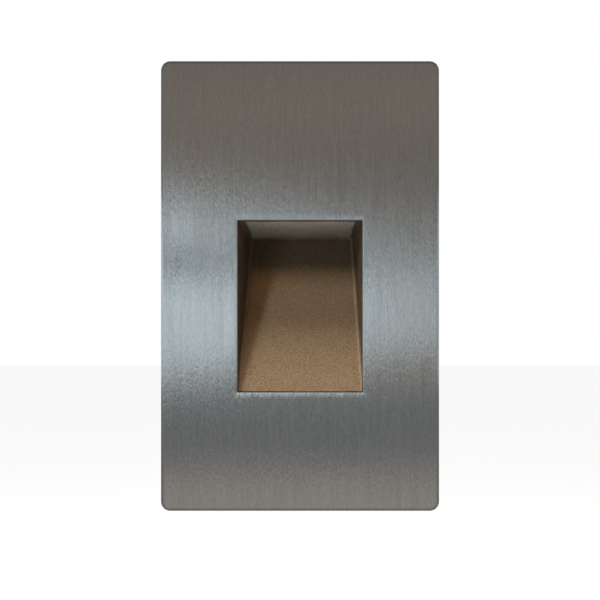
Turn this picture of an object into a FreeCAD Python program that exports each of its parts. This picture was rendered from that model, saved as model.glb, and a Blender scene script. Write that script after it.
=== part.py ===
import FreeCAD, Part

import os

import Sketcher

# Step light for a single-gang wall box: a brushed cover plate pulls off a die-cast housing
# whose scoop runs back through the wall, with the lamp shining down through its ceiling.
#
# Frame, in millimetres: +X to the right, +Y into the wall, +Z up. The origin lies midway
# between the two box screws, on the wall's surface, so all that stands proud has y < 0.

VECTOR = FreeCAD.Vector
DOC = FreeCAD.newDocument("step_light")

# Driving dimensions: alias, value and meaning. Each is set here and nowhere else.
SIZES = (
    ("plate_width", 74.6, "cover plate, side to side"),
    ("plate_height", 120.65, "cover plate, top to bottom"),
    ("plate_thickness", 2.0, "cover plate sheet"),
    ("plate_corner", 2.5, "cover plate corner radius"),
    ("plate_edge", 0.8, "rounding of the plate's outer front edge"),
    ("window_width", 33.4, "window in the plate, side to side"),
    ("window_height", 45.7, "window in the plate, top to bottom"),
    ("window_drop", 5.4, "window centre below the plate centre"),
    ("window_edge", 0.3, "rounding of the window's front edge"),
    ("cover_gap", 0.3, "between the plate and the flange behind it"),
    ("stud_radius", 1.5, "snap stud on the back of the plate"),
    ("stud_length", 3.8, "snap stud, out of the plate"),
    ("stud_nose", 0.5, "rounded nose of the snap stud"),
    ("stud_inset", 6.8, "snap stud in from the flange's edge"),
    ("stud_play", 0.05, "snap stud in its grommet, radial"),
    ("grommet_radius", 3.0, "grommet body in the flange"),
    ("grommet_lip", 0.8, "grommet head, radial and thick"),
    ("grommet_depth", 4.0, "grommet, front to back"),
    ("grommet_boss", 5.0, "cast boss round a grommet, radius"),
    ("gasket_thickness", 1.5, "wall gasket"),
    ("gasket_inset", 0.5, "wall gasket in from the flange's edge"),
    ("gasket_play", 1.0, "wall gasket clear of the tub"),
    ("flange_depth", 5.0, "flange, front face to gasket"),
    ("flange_web", 2.2, "front wall of the flange"),
    ("flange_rim", 2.5, "wall round the flange"),
    ("flange_inset", 1.5, "flange in from the plate's edge"),
    ("flange_corner", 2.0, "flange corner radius"),
    ("box_screw_spacing", 83.3, "between the two box screws"),
    ("box_screw_radius", 1.75, "box screw thread"),
    ("box_screw_length", 25.4, "box screw under its head"),
    ("box_screw_neck", 1.35, "thinner neck of a box screw under its head, radius"),
    ("box_neck_play", 0.2, "thread of a box screw behind its washer"),
    ("box_screw_room", 6.45, "box screw's middle over the tub's top"),
    ("box_head_radius", 3.6, "box screw head"),
    ("box_head_height", 2.3, "box screw head"),
    ("box_screw_play", 0.35, "box screw in its hole, radial"),
    ("box_screw_boss", 5.5, "cast boss round a box screw, radius"),
    ("head_play", 0.5, "round and over a box screw's sunk head"),
    ("retainer_radius", 4.0, "fibre washer that keeps a box screw in"),
    ("retainer_thickness", 0.8, "fibre washer that keeps a box screw in"),
    ("scoop_clearance", 0.4, "scoop mouth wider than the window, each side"),
    ("scoop_depth", 36.0, "scoop, flange front to its back edge"),
    ("scoop_draft", 2.5, "side walls of the scoop, degrees"),
    ("ceiling_angle", 3.26, "fall of the scoop's ceiling, degrees"),
    ("scoop_lip", 0.5, "narrow back wall between ramp and ceiling"),
    ("scoop_fillet", 1.0, "rounding between the ramp and the side walls"),
    ("ramp_wall", 2.2, "cast wall of the ramp"),
    ("back_wall", 2.2, "cast wall behind the scoop's back edge"),
    ("ceiling_wall", 1.5, "cast frame that carries the lens"),
    ("tub_wall", 2.0, "outer wall of the tub"),
    ("tub_room", 16.5, "tub's open back behind the scoop's back edge"),
    ("tub_corner", 2.5, "outer corners of the tub"),
    ("light_lip", 0.4, "ceiling frame inside the scoop's back corners"),
    ("light_edge", 0.6, "ceiling frame in front of and behind the lens opening"),
    ("lens_thickness", 2.5, "frosted lens"),
    ("lens_seal", 0.6, "silicone seal under the lens"),
    ("lens_play", 0.2, "lens inside the chamber walls"),
    ("lens_step_play", 0.2, "lens's lowered face inside its opening"),
    ("lens_flush", 0.1, "lens's lowered face above the scoop's ceiling"),
    ("lens_stop", 1.5, "upstand behind the lens, thick"),
    ("lens_stop_height", 2.5, "upstand behind the lens, high"),
    ("reflector_inset", 0.7, "white reflector inside the chamber walls"),
    ("reflector_wall", 1.2, "white reflector wall"),
    ("rail_reach", 1.9, "rails on the chamber walls, inwards"),
    ("rail_height", 2.2, "rails on the chamber walls"),
    ("slide_play", 0.1, "between pieces that slide into the housing"),
    ("carrier_thickness", 2.0, "aluminium carrier behind the lamp board"),
    ("carrier_play", 0.3, "carrier inside the chamber walls"),
    ("carrier_tab", 12.0, "carrier's turned-down tab"),
    ("carrier_boss", 3.0, "boss that takes a carrier screw, radius"),
    ("carrier_boss_inset", 2.7, "boss centre in from the chamber wall"),
    ("carrier_boss_length", 5.3, "boss that takes a carrier screw"),
    ("carrier_screw_drop", 6.0, "carrier screws below the carrier's plate"),
    ("pad_thickness", 0.5, "thermal pad"),
    ("lamp_board_thickness", 1.6, "lamp board"),
    ("lamp_board_inset", 2.5, "lamp board inside the chamber walls"),
    ("lamp_board_front", 2.3, "lamp board behind the flange's front wall"),
    ("lamp_board_back", 2.0, "lamp board in front of the carrier's tab"),
    ("led_side", 3.0, "lamp package"),
    ("led_height", 0.9, "lamp package"),
    ("led_pitch_x", 8.5, "lamp packages, side to side"),
    ("led_pitch_y", 11.0, "lamp packages, front to back"),
    ("led_first", 7.0, "first row of lamps behind the lamp board's front"),
    ("lamp_plug_width", 7.0, "plug on the lamp board"),
    ("lamp_plug_length", 4.0, "plug on the lamp board"),
    ("lamp_plug_height", 3.5, "plug on the lamp board"),
    ("small_screw_radius", 1.25, "carrier and driver screws"),
    ("small_screw_length", 6.0, "carrier and driver screws, under the head"),
    ("small_head_radius", 2.3, "carrier and driver screws"),
    ("small_head_height", 1.5, "carrier and driver screws"),
    ("tiny_screw_radius", 1.0, "lamp board screws"),
    ("tiny_head_radius", 1.8, "lamp board screws"),
    ("tiny_head_height", 1.0, "lamp board screws"),
    ("tiny_screw_inset", 2.6, "lamp board screws in from the board's edges"),
    ("thread_play", 0.05, "tapped hole outside its screw, radial"),
    ("pillar_radius", 2.8, "pillars that carry the driver board"),
    ("pillar_inset", 2.5, "pillar centre in from the tub's inner walls"),
    ("pillar_low", 5.7, "lower pillars above the tub's floor"),
    ("pillar_high", 4.8, "upper pillars below the driver board's head"),
    ("driver_back", 10.0, "driver board's front in from the tub's open back"),
    ("driver_thickness", 1.6, "driver board"),
    ("driver_play", 0.5, "driver board inside the tub"),
    ("driver_foot", 1.6, "lowest parts over the driver board's foot"),
    ("driver_head", 2.8, "driver board's head over its plug"),
    ("driver_side", 6.2, "transformer in from the driver board's left edge"),
    ("driver_column", 8.9, "middle of the side parts in from the driver board's edges"),
    ("driver_gap", 0.9, "between neighbours on the driver board"),
    ("driver_row_gap", 2.3, "between rows on the driver board"),
    ("rear_boss", 3.0, "boss that takes a rear cover screw, radius"),
    ("rear_boss_inset", 2.4, "boss centre in from the tub's inner walls"),
    ("rear_boss_gap", 0.2, "boss that takes a rear cover screw behind the carrier"),
    ("rear_seal", 0.8, "rear gasket"),
    ("rear_cover_thickness", 2.5, "rear cover"),
    ("rear_cover_edge", 0.6, "bevel of the rear cover's outer edge"),
    ("rear_screw_radius", 1.5, "rear cover screws"),
    ("rear_screw_length", 8.0, "rear cover screws, under the head"),
    ("rear_head_radius", 2.8, "rear cover screws"),
    ("rear_head_height", 1.8, "rear cover screws"),
    ("slot_width", 0.8, "screwdriver slots"),
    ("gland_drop", 8.0, "cable gland below the box screws' middle"),
    ("gland_bore", 3.5, "cable gland bore, radius"),
    ("gland_thread", 6.0, "cable gland thread, radius"),
    ("gland_flange", 8.0, "cable gland hexagon, half across flats"),
    ("gland_flange_depth", 2.6, "cable gland hexagon"),
    ("gland_collar", 4.2, "cable gland collar outside its hexagon"),
    ("gland_seat", 2.6, "depth of the seal's seat in the collar"),
    ("gland_nut_depth", 3.0, "lock nut inside the rear cover"),
    ("gland_cap_wall", 1.4, "cable gland cap"),
    ("seal_wall", 1.5, "cable gland seal, radial"),
    ("seal_proud", 0.4, "cable gland seal out of its seat"),
    ("ground_height", 20.0, "ground screw above the box screws' middle"),
    ("ground_radius", 2.0, "ground screw thread"),
    ("ground_length", 6.0, "ground screw under its head"),
    ("ground_head", 3.6, "ground screw hexagon, half across flats"),
    ("ground_head_height", 2.4, "ground screw hexagon"),
    ("ground_washer", 4.6, "ground screw's own washer, radius"),
    ("ground_washer_depth", 0.6, "ground screw's own washer"),
    ("lead_radius", 0.65, "wire between the driver and the lamp board"),
    ("lead_pitch", 2.5, "between the two wires"),
    ("transformer_high", 14.0, "up and down"),
    ("transformer_deep", 13.0, "off the board"),
    ("film_capacitor_high", 5.4, "up and down"),
    ("film_capacitor_deep", 9.0, "off the board"),
    ("bulk_capacitor_radius", 3.6, "can"),
    ("bulk_capacitor_deep", 12.0, "off the board"),
    ("line_choke_radius", 3.9, "drum"),
    ("line_choke_deep", 8.5, "off the board"),
    ("input_fuse_radius", 2.4, "body"),
    ("input_fuse_deep", 7.0, "off the board"),
    ("surge_absorber_radius", 3.0, "disc"),
    ("surge_absorber_deep", 4.0, "off the board"),
    ("bridge_rectifier_wide", 4.6, "side to side"),
    ("bridge_rectifier_high", 6.2, "up and down"),
    ("bridge_rectifier_deep", 2.5, "off the board"),
    ("driver_chip_wide", 4.9, "side to side"),
    ("driver_chip_high", 3.9, "up and down"),
    ("driver_chip_deep", 1.7, "off the board"),
    ("output_plug_wide", 5.6, "side to side"),
    ("output_plug_high", 5.6, "up and down"),
    ("output_plug_deep", 4.0, "off the board"),
)

# Places worked out from the sizes: alias, formula and meaning.
PLACES = (
    ("flange_back", "-Size.gasket_thickness", "y"),
    ("flange_front", "-Size.gasket_thickness - Size.flange_depth", "y"),
    ("web_back", "Place.flange_front + Size.flange_web", "y"),
    ("plate_back", "Place.flange_front - Size.cover_gap", "y"),
    ("plate_front", "Place.plate_back - Size.plate_thickness", "y"),
    ("window_half", "Size.window_width / 2", "x"),
    ("window_top", "Size.window_height / 2 - Size.window_drop", "z"),
    ("window_bottom", "-Size.window_height / 2 - Size.window_drop", "z"),
    ("flange_x", "Size.plate_width / 2 - Size.flange_inset", "half width"),
    ("flange_z", "Size.plate_height / 2 - Size.flange_inset", "half height"),
    ("stud_x", "Place.flange_x - Size.stud_inset", "half spacing"),
    ("stud_z", "Place.flange_z - Size.stud_inset", "half spacing"),
    ("box_screw_z", "Size.box_screw_spacing / 2", "half spacing"),
    ("box_head_seat", "Place.flange_front + Size.box_head_height + Size.head_play", "y"),
    ("scoop_x", "Place.window_half + Size.scoop_clearance", "half width at the mouth"),
    ("scoop_top", "Place.window_top + Size.scoop_clearance", "z at the mouth"),
    ("scoop_bottom", "Place.window_bottom - Size.scoop_clearance", "z at the mouth"),
    ("scoop_back", "Place.flange_front + Size.scoop_depth", "y"),
    ("scoop_back_x", "Place.scoop_x - Size.scoop_depth * tan(Size.scoop_draft * 1deg)", "half width"),
    ("ceiling_fall", "tan(Size.ceiling_angle * 1deg)", "fall per millimetre of depth"),
    ("scoop_back_top", "Place.scoop_top - Size.scoop_depth * Place.ceiling_fall", "z"),
    ("scoop_back_low", "Place.scoop_back_top - Size.scoop_lip", "z"),
    ("ramp_run", "Size.scoop_depth / (Place.scoop_back_low - Place.scoop_bottom)", "depth per rise"),
    ("ramp_skin", "Size.ramp_wall * sqrt(1 + Place.ramp_run * Place.ramp_run)", "wall along y"),
    ("ramp_foot", "Place.flange_front + Place.ramp_skin", "y of the ramp's back at the floor"),
    ("cavity_back", "Place.scoop_back + Size.back_wall", "y behind the scoop"),
    ("ramp_head", "Place.scoop_bottom + (Place.cavity_back - Place.ramp_foot) / Place.ramp_run", "z"),
    ("tub_x", "Place.scoop_x + Size.tub_wall", "half width outside"),
    ("tub_bottom", "Place.scoop_bottom - Size.tub_wall", "z"),
    ("chamber_low", "Place.scoop_top - Size.flange_web * Place.ceiling_fall + Size.ceiling_wall", "z"),
    ("tub_top", "Place.box_screw_z - Size.box_screw_room", "z"),
    ("chamber_top", "Place.tub_top - Size.tub_wall", "z"),
    ("tub_back", "Place.scoop_back + Size.tub_room", "y"),
    ("light_x", "Place.scoop_back_x - Size.light_lip", "half width"),
    ("light_front", "Place.web_back + Size.light_edge", "y"),
    ("light_back", "Place.scoop_back - Size.light_edge", "y"),
    ("lens_x", "Place.scoop_x - Size.lens_play", "half width"),
    ("lens_front", "Place.web_back + Size.lens_play", "y"),
    ("lens_back", "Place.cavity_back - Size.lens_stop - Size.lens_play", "y"),
    ("rail_top", "Place.chamber_top - Size.carrier_thickness - Size.slide_play", "z"),
    ("rail_low", "Place.rail_top - Size.rail_height", "z"),
    ("carrier_low", "Place.chamber_top - Size.carrier_thickness", "z"),
    ("carrier_tab_front", "Place.cavity_back + Size.carrier_boss_length", "y"),
    ("carrier_back", "Place.carrier_tab_front + Size.carrier_thickness", "y"),
    ("carrier_screw_x", "Place.scoop_x - Size.carrier_boss_inset", "half spacing"),
    ("carrier_screw_z", "Place.carrier_low - Size.carrier_screw_drop", "z"),
    ("pad_low", "Place.carrier_low - Size.pad_thickness", "z"),
    ("lamp_low", "Place.pad_low - Size.lamp_board_thickness", "z"),
    ("lamp_x", "Place.scoop_x - Size.lamp_board_inset", "half width"),
    ("lamp_front", "Place.web_back + Size.lamp_board_front", "y"),
    ("lamp_back", "Place.carrier_tab_front - Size.lamp_board_back", "y"),
    ("driver_front", "Place.tub_back - Size.driver_back", "y"),
    ("driver_rear", "Place.driver_front + Size.driver_thickness", "y"),
    ("driver_x", "Place.scoop_x - Size.driver_play", "half width"),
    ("driver_low", "Place.scoop_bottom + Size.driver_play", "z"),
    ("pillar_x", "Place.scoop_x - Size.pillar_inset", "half spacing"),
    ("pillar_z", "Place.scoop_bottom + Size.pillar_low", "z of the lower pillars"),
    ("side_column", "Place.driver_x - Size.driver_column", "middle of the parts at the sides"),
    ("first_row", "Place.driver_low + Size.driver_foot", "foot of the transformer"),
    ("second_row", "Place.first_row + Size.transformer_high + Size.driver_row_gap", "foot of the film part"),
    ("third_row", "Place.second_row + Size.film_capacitor_high + Size.driver_row_gap", "foot of the disc"),
    ("plug_row", "Place.third_row + 2 * Size.surge_absorber_radius + Size.driver_gap", "foot of the plug"),
    ("plug_top", "Place.plug_row + Size.output_plug_high", "z"),
    ("driver_high", "Place.plug_top + Size.driver_head", "z of the driver board's head"),
    ("pillar_top", "Place.driver_high - Size.pillar_high", "z of the upper pillars"),
    ("rear_boss_x", "Place.scoop_x - Size.rear_boss_inset", "half spacing"),
    ("rear_boss_low", "Place.scoop_bottom + Size.rear_boss_inset", "z"),
    ("rear_boss_high", "Place.chamber_top - Size.rear_boss_inset", "z"),
    ("rear_boss_front", "Place.carrier_back + Size.rear_boss_gap", "y"),
    ("rear_seal_back", "Place.tub_back + Size.rear_seal", "y"),
    ("rear_face", "Place.rear_seal_back + Size.rear_cover_thickness", "y"),
)


def make_sheet(name, rows, mark):
    """A spreadsheet with one named cell per row."""
    sheet = DOC.addObject("Spreadsheet::Sheet", name)
    for row, (alias, value, meaning) in enumerate(rows, start=1):
        sheet.set(f"A{row}", meaning)
        sheet.set(f"B{row}", f"{mark}{value}".replace(f"{name}.", ""))
        sheet.setAlias(f"B{row}", alias)
    return sheet


SIZE_SHEET = make_sheet("Size", SIZES, "")
PLACE_SHEET = make_sheet("Place", PLACES, "=")
DOC.recompute()


def value_of(expression):
    """What an expression over the two sheets comes to now."""
    return float(SIZE_SHEET.evalExpression(str(expression)))


def tie(thing, setting, expression):
    """Binds one property to an expression over the sheets."""
    thing.setExpression(setting, str(expression))


def chamber_floor(y):
    """Height of the lamp chamber's sloping floor at depth y."""
    return f"(Place.scoop_top + Size.ceiling_wall - ({y} - Place.flange_front) * Place.ceiling_fall)"


# ---------------------------------------------------------------- sketches and features

BODIES = []


def new_body(label):
    """A body named after the piece that it holds."""
    body = DOC.addObject("PartDesign::Body", label)
    body.Label = label
    BODIES.append(body)
    return body


def origin_of(body, role):
    """One of the body's own origin planes or axes."""
    return next(item for item in body.Origin.OriginFeatures if item.Role == role)


def rectangle(left, low, right, high):
    """Corner points of an upright rectangle."""
    return [(left, low), (right, low), (right, high), (left, high)]


def centred(half_width, half_height):
    """Corner points of a rectangle round the origin."""
    return rectangle(f"-({half_width})", f"-({half_height})", half_width, half_height)


def add_polygon(sketch, points):
    """A closed outline with both coordinates of every corner tied to the sheets."""
    first = sketch.GeometryCount
    spots = [VECTOR(value_of(across), value_of(up), 0) for across, up in points]
    for start, end in zip(spots, spots[1:] + spots[:1]):
        sketch.addGeometry(Part.LineSegment(start, end), False)
    for index in range(len(points)):
        following = first + (index + 1) % len(points)
        sketch.addConstraint(Sketcher.Constraint("Coincident", first + index, 2, following, 1))
    for index, (point, spot) in enumerate(zip(points, spots)):
        for kind, text, now in (("DistanceX", point[0], spot.x), ("DistanceY", point[1], spot.y)):
            tie_point(sketch, first + index, 1, kind, text, now)


def add_circle(sketch, across, up, radius):
    """A circle with its centre and radius tied to the sheets."""
    centre = VECTOR(value_of(across), value_of(up), 0)
    curve = sketch.addGeometry(Part.Circle(centre, VECTOR(0, 0, 1), value_of(radius)), False)
    tie_point(sketch, curve, 3, "DistanceX", across, centre.x)
    tie_point(sketch, curve, 3, "DistanceY", up, centre.y)
    row = sketch.addConstraint(Sketcher.Constraint("Radius", curve, value_of(radius)))
    tie(sketch, f"Constraints[{row}]", radius)


def tie_point(sketch, curve, end, kind, text, now):
    """One coordinate of a sketch point, on an axis or at a tied distance from it."""
    if str(text) == "0":
        axis = -2 if kind == "DistanceX" else -1
        sketch.addConstraint(Sketcher.Constraint("PointOnObject", curve, end, axis))
        return
    row = sketch.addConstraint(Sketcher.Constraint(kind, -1, 1, curve, end, now))
    tie(sketch, f"Constraints[{row}]", text)


def add_sketch(body, name, role, loops, offset="0", shift=None):
    """A sketch on one of the body's origin planes, moved along its normal and across it."""
    sketch = body.newObject("Sketcher::SketchObject", name)
    sketch.AttachmentSupport = [(origin_of(body, role), "")]
    sketch.MapMode = "FlatFace"
    tie(sketch, "AttachmentOffset.Base.z", offset)
    if shift:
        tie(sketch, "AttachmentOffset.Base.x", shift)
    for loop in loops:
        if len(loop) == 3:
            add_circle(sketch, *loop)
        else:
            add_polygon(sketch, loop)
    return sketch


def add_feature(body, kind, name, sketch, **settings):
    """A feature that takes a sketch as its profile."""
    feature = body.newObject(f"PartDesign::{kind}", name)
    feature.Profile = sketch
    sketch.Visibility = False
    for setting, wanted in settings.items():
        setattr(feature, setting, wanted)
    body.Tip = feature
    return feature


def slab(body, name, loops, y_front, y_back, kind="Pad"):
    """Material, or a cut, between two depths: the outline lies across the wall."""
    sketch = add_sketch(body, f"{name}Sketch", "XZ_Plane", loops, offset=f"-({y_front})")
    feature = add_feature(body, kind, name, sketch, Reversed=(kind == "Pad"))
    tie(feature, "Length", f"({y_back}) - ({y_front})")
    return feature


def side_profile(body, name, points, width, kind="Pad"):
    """Material, or a cut, of one width about the middle, from an outline seen from the side."""
    sketch = add_sketch(body, f"{name}Sketch", "YZ_Plane", [points])
    feature = add_feature(body, kind, name, sketch, SideType="Symmetric")
    tie(feature, "Length", width)
    return feature


def level_slab(body, name, loops, z_low, z_high, kind="Pad"):
    """Material, or a cut, between two heights: the outline is seen from above."""
    sketch = add_sketch(body, f"{name}Sketch", "XY_Plane", loops, offset=z_low)
    feature = add_feature(body, kind, name, sketch, Reversed=(kind == "Pocket"))
    tie(feature, "Length", f"({z_high}) - ({z_low})")
    return feature


def loft(body, name, kind, sections):
    """A loft through outlines that lie across the wall, each with its depth."""
    sketches = [
        add_sketch(body, f"{name}{number}", "XZ_Plane", [loop], offset=f"-({depth})")
        for number, (loop, depth) in enumerate(sections, start=1)
    ]
    feature = add_feature(body, kind, name, sketches[0], Sections=sketches[1:], Ruled=True)
    return feature


def turned(body, name, profile, across="0", up="0"):
    """A revolved shape in the body's own frame: (radius, height) points about a line along Z."""
    sketch = add_sketch(body, f"{name}Sketch", "XZ_Plane", [profile], f"-({up})", across)
    feature = add_feature(body, "Revolution", name, sketch)
    feature.ReferenceAxis = (sketch, ["V_Axis"])
    feature.Angle = 360
    return feature


def repeat(body, name, features, rows):
    """Copies of features along the body's own axes, each row an axis, a length and a count."""
    pattern = body.newObject("PartDesign::MultiTransform", name)
    pattern.Originals = features
    steps = []
    for number, (role, length, count) in enumerate(rows, start=1):
        step = body.newObject("PartDesign::LinearPattern", f"{name}Row{number}")
        step.Direction = (origin_of(body, role), [""])
        step.Occurrences = count
        tie(step, "Length", length)
        steps.append(step)
    pattern.Transformations = steps
    body.Tip = pattern
    return pattern


def place(body, y, x="0", z="0", faces_wall=True):
    """Turns a body made about its own Z so that its axis lies along the wall's depth."""
    turn = -90 if faces_wall else 90
    body.Placement = FreeCAD.Placement(VECTOR(0, 0, 0), FreeCAD.Rotation(VECTOR(1, 0, 0), turn))
    tie(body, "Placement.Base.x", x)
    tie(body, "Placement.Base.y", y)
    tie(body, "Placement.Base.z", z)


def dress(body, kind, name, chosen, setting, size):
    """Fillets or chamfers the edges of the body's last shape that a test picks."""
    DOC.recompute()
    base = body.Tip
    names = [f"Edge{n}" for n, edge in enumerate(base.Shape.Edges, start=1) if chosen(edge)]
    feature = body.newObject(f"PartDesign::{kind}", name)
    feature.Base = (base, names)
    tie(feature, setting, size)
    body.Tip = feature
    return feature


def runs_along(edge, axis):
    """Whether an edge is a straight line along axis."""
    if edge.Curve.TypeId != "Part::GeomLine":
        return False
    return abs(edge.Curve.Direction.dot(axis)) > 1 - 1e-6


def all_at(edge, axis, place_text):
    """Whether the whole edge lies at one place along an axis, such as y at the front."""
    target = value_of(place_text)
    return all(abs(vertex.Point.dot(axis) - target) < 1e-4 for vertex in edge.Vertexes)


X_AXIS, Y_AXIS, Z_AXIS = VECTOR(1, 0, 0), VECTOR(0, 1, 0), VECTOR(0, 0, 1)


def round_outer_corners(body, name, half_width, radius):
    """Rounds the corners of an upright block, where its sides meet its top and bottom."""
    reach = value_of(half_width)

    def is_corner(edge):
        middle = edge.CenterOfMass
        return runs_along(edge, Y_AXIS) and abs(abs(middle.x) - reach) < 1e-4

    return dress(body, "Fillet", name, is_corner, "Radius", radius)


# ---------------------------------------------------------------- cover


def make_face_plate():
    """Flat brushed plate with a square-cut window below its middle."""
    body = new_body("face_plate")
    outline = centred("Size.plate_width / 2", "Size.plate_height / 2")
    window = rectangle("-Place.window_half", "Place.window_bottom", "Place.window_half", "Place.window_top")
    slab(body, "Sheet", [outline, window], "Place.plate_back - Size.plate_thickness", "Place.plate_back")
    round_outer_corners(body, "Corners", "Size.plate_width / 2", "Size.plate_corner")
    reach = value_of("Place.window_half")

    def on_front(edge):
        return all_at(edge, Y_AXIS, "Place.plate_front")

    def of_window(edge):
        inside = all(abs(vertex.X) < reach + 1e-3 for vertex in edge.Vertexes)
        return on_front(edge) and inside and abs(edge.CenterOfMass.z) < value_of("Size.plate_height / 4")

    dress(body, "Fillet", "OuterEdge", lambda edge: on_front(edge) and not of_window(edge),
          "Radius", "Size.plate_edge")
    dress(body, "Fillet", "WindowEdge", of_window, "Radius", "Size.window_edge")


def make_cover_studs():
    """Four studs welded to the back of the plate, which push into the flange's grommets."""
    body = new_body("cover_studs")
    profile = [
        ("0", "0"),
        ("Size.stud_radius", "0"),
        ("Size.stud_radius", "Size.stud_length - Size.stud_nose"),
        ("Size.stud_radius - Size.stud_nose", "Size.stud_length"),
        ("0", "Size.stud_length"),
    ]
    stud = turned(body, "Stud", profile, "-Place.stud_x", "-Place.stud_z")
    repeat(body, "Corners", [stud], [("X_Axis", "2 * Place.stud_x", 2), ("Y_Axis", "2 * Place.stud_z", 2)])
    place(body, "Place.plate_back")


# ---------------------------------------------------------------- housing


def at_corners(half_x, low_z, high_z, radius):
    """Four circles, at two heights on each side."""
    return [(f"{side}({half_x})", height, radius) for side in ("-", "") for height in (low_z, high_z)]


def make_housing():
    """One casting: flange, tub, drafted scoop, lamp chamber, bosses, rails and pillars."""
    body = new_body("housing")
    stud_corners = ("Place.stud_x", "-Place.stud_z", "Place.stud_z")
    box_screws = [("0", "-Place.box_screw_z"), ("0", "Place.box_screw_z")]
    flange = centred("Place.flange_x", "Place.flange_z")
    inside = centred("Place.flange_x - Size.flange_rim", "Place.flange_z - Size.flange_rim")

    slab(body, "Web", [flange], "Place.flange_front", "Place.web_back")
    slab(body, "Rim", [flange, inside], "Place.web_back", "Place.flange_back")
    round_outer_corners(body, "FlangeCorners", "Place.flange_x", "Size.flange_corner")
    tub = rectangle("-Place.tub_x", "Place.tub_bottom", "Place.tub_x", "Place.tub_top")
    slab(body, "Tub", [tub], "Place.web_back", "Place.tub_back")
    round_outer_corners(body, "TubCorners", "Place.tub_x", "Size.tub_corner")
    screw_bosses = [(x, z, "Size.box_screw_boss") for x, z in box_screws]
    slab(body, "ScrewBosses", screw_bosses, "Place.web_back", "Place.flange_back")
    slab(body, "GrommetBosses", at_corners(*stud_corners, "Size.grommet_boss"),
         "Place.web_back", "Place.flange_back")

    cavity = [
        ("Place.tub_back", "Place.scoop_bottom"),
        ("Place.ramp_foot", "Place.scoop_bottom"),
        ("Place.cavity_back", "Place.ramp_head"),
        ("Place.cavity_back", chamber_floor("Place.cavity_back")),
        ("Place.web_back", "Place.chamber_low"),
        ("Place.web_back", "Place.chamber_top"),
        ("Place.tub_back", "Place.chamber_top"),
    ]
    side_profile(body, "RearCavity", cavity, "2 * Place.scoop_x", kind="Pocket")

    stop_foot = f"{chamber_floor('Place.cavity_back')} - Size.ceiling_wall / 2"
    stop_head = f"{chamber_floor('Place.cavity_back')} + Size.lens_stop_height"
    stop = rectangle("Place.cavity_back - Size.lens_stop", stop_foot, "Place.cavity_back", stop_head)
    side_profile(body, "LensStop", stop, "2 * Place.scoop_x")

    for side, name in (("-", "Left"), ("", "Right")):
        inner = f"{side}(Place.scoop_x - Size.rail_reach)"
        outer = f"{side}(Place.scoop_x + Size.tub_wall / 2)"
        corners = (outer, inner) if side else (inner, outer)
        rail = rectangle(corners[0], "Place.rail_low", corners[1], "Place.rail_top")
        slab(body, f"Rail{name}", [rail], "Place.web_back", "Place.carrier_tab_front")

    carrier_bosses = [(f"{side}Place.carrier_screw_x", "Place.carrier_screw_z", "Size.carrier_boss")
                      for side in ("-", "")]
    slab(body, "CarrierBosses", carrier_bosses, "Place.cavity_back", "Place.carrier_tab_front")
    pillars = ("Place.pillar_x", "Place.pillar_z", "Place.pillar_top")
    slab(body, "Pillars", at_corners(*pillars, "Size.pillar_radius"), "Place.web_back", "Place.driver_front")
    rear_bosses = ("Place.rear_boss_x", "Place.rear_boss_low", "Place.rear_boss_high")
    slab(body, "RearBosses", at_corners(*rear_bosses, "Size.rear_boss"),
         "Place.rear_boss_front", "Place.tub_back")

    mouth = rectangle("-Place.scoop_x", "Place.scoop_bottom", "Place.scoop_x", "Place.scoop_top")
    back = rectangle("-Place.scoop_back_x", "Place.scoop_back_low",
                     "Place.scoop_back_x", "Place.scoop_back_top")
    loft(body, "Scoop", "SubtractiveLoft", [(mouth, "Place.flange_front"), (back, "Place.scoop_back")])

    def beside_ramp(edge):
        rise = value_of("Place.scoop_back_low - Place.scoop_bottom")
        one, other = edge.Vertexes[0], edge.Vertexes[-1]
        inside = value_of("Place.light_x") < abs(edge.CenterOfMass.x) < value_of("Place.scoop_x")
        return inside and abs(abs(one.Z - other.Z) - rise) < 1e-3

    dress(body, "Fillet", "RampCorners", beside_ramp, "Radius", "Size.scoop_fillet")
    light = rectangle("-Place.light_x", "Place.light_front", "Place.light_x", "Place.light_back")
    level_slab(body, "LightOpening", [light], "Place.scoop_back_low", "Place.chamber_low", kind="Pocket")

    screw_holes = [(x, z, "Size.box_screw_radius + Size.box_screw_play") for x, z in box_screws]
    slab(body, "ScrewHoles", screw_holes, "Place.flange_front", "Place.flange_back", kind="Pocket")
    sinks = [(x, z, "Size.box_head_radius + Size.head_play") for x, z in box_screws]
    slab(body, "ScrewSinks", sinks, "Place.flange_front", "Place.box_head_seat", kind="Pocket")
    slab(body, "GrommetHoles", at_corners(*stud_corners, "Size.grommet_radius"),
         "Place.flange_front", "Place.flange_front + Size.grommet_depth", kind="Pocket")
    slab(body, "GrommetSinks", at_corners(*stud_corners, "Size.grommet_radius + Size.grommet_lip"),
         "Place.flange_front", "Place.flange_front + Size.grommet_lip", kind="Pocket")
    small_tap = "Size.small_screw_radius + Size.thread_play"
    carrier_taps = [(x, z, small_tap) for x, z, _ in carrier_bosses]
    slab(body, "CarrierTaps", carrier_taps, "Place.cavity_back", "Place.carrier_tab_front", kind="Pocket")
    slab(body, "PillarTaps", at_corners(*pillars, small_tap),
         "Place.driver_front - Size.small_screw_length", "Place.driver_front", kind="Pocket")
    slab(body, "RearTaps", at_corners(*rear_bosses, "Size.rear_screw_radius + Size.thread_play"),
         "Place.rear_boss_front", "Place.tub_back", kind="Pocket")


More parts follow.
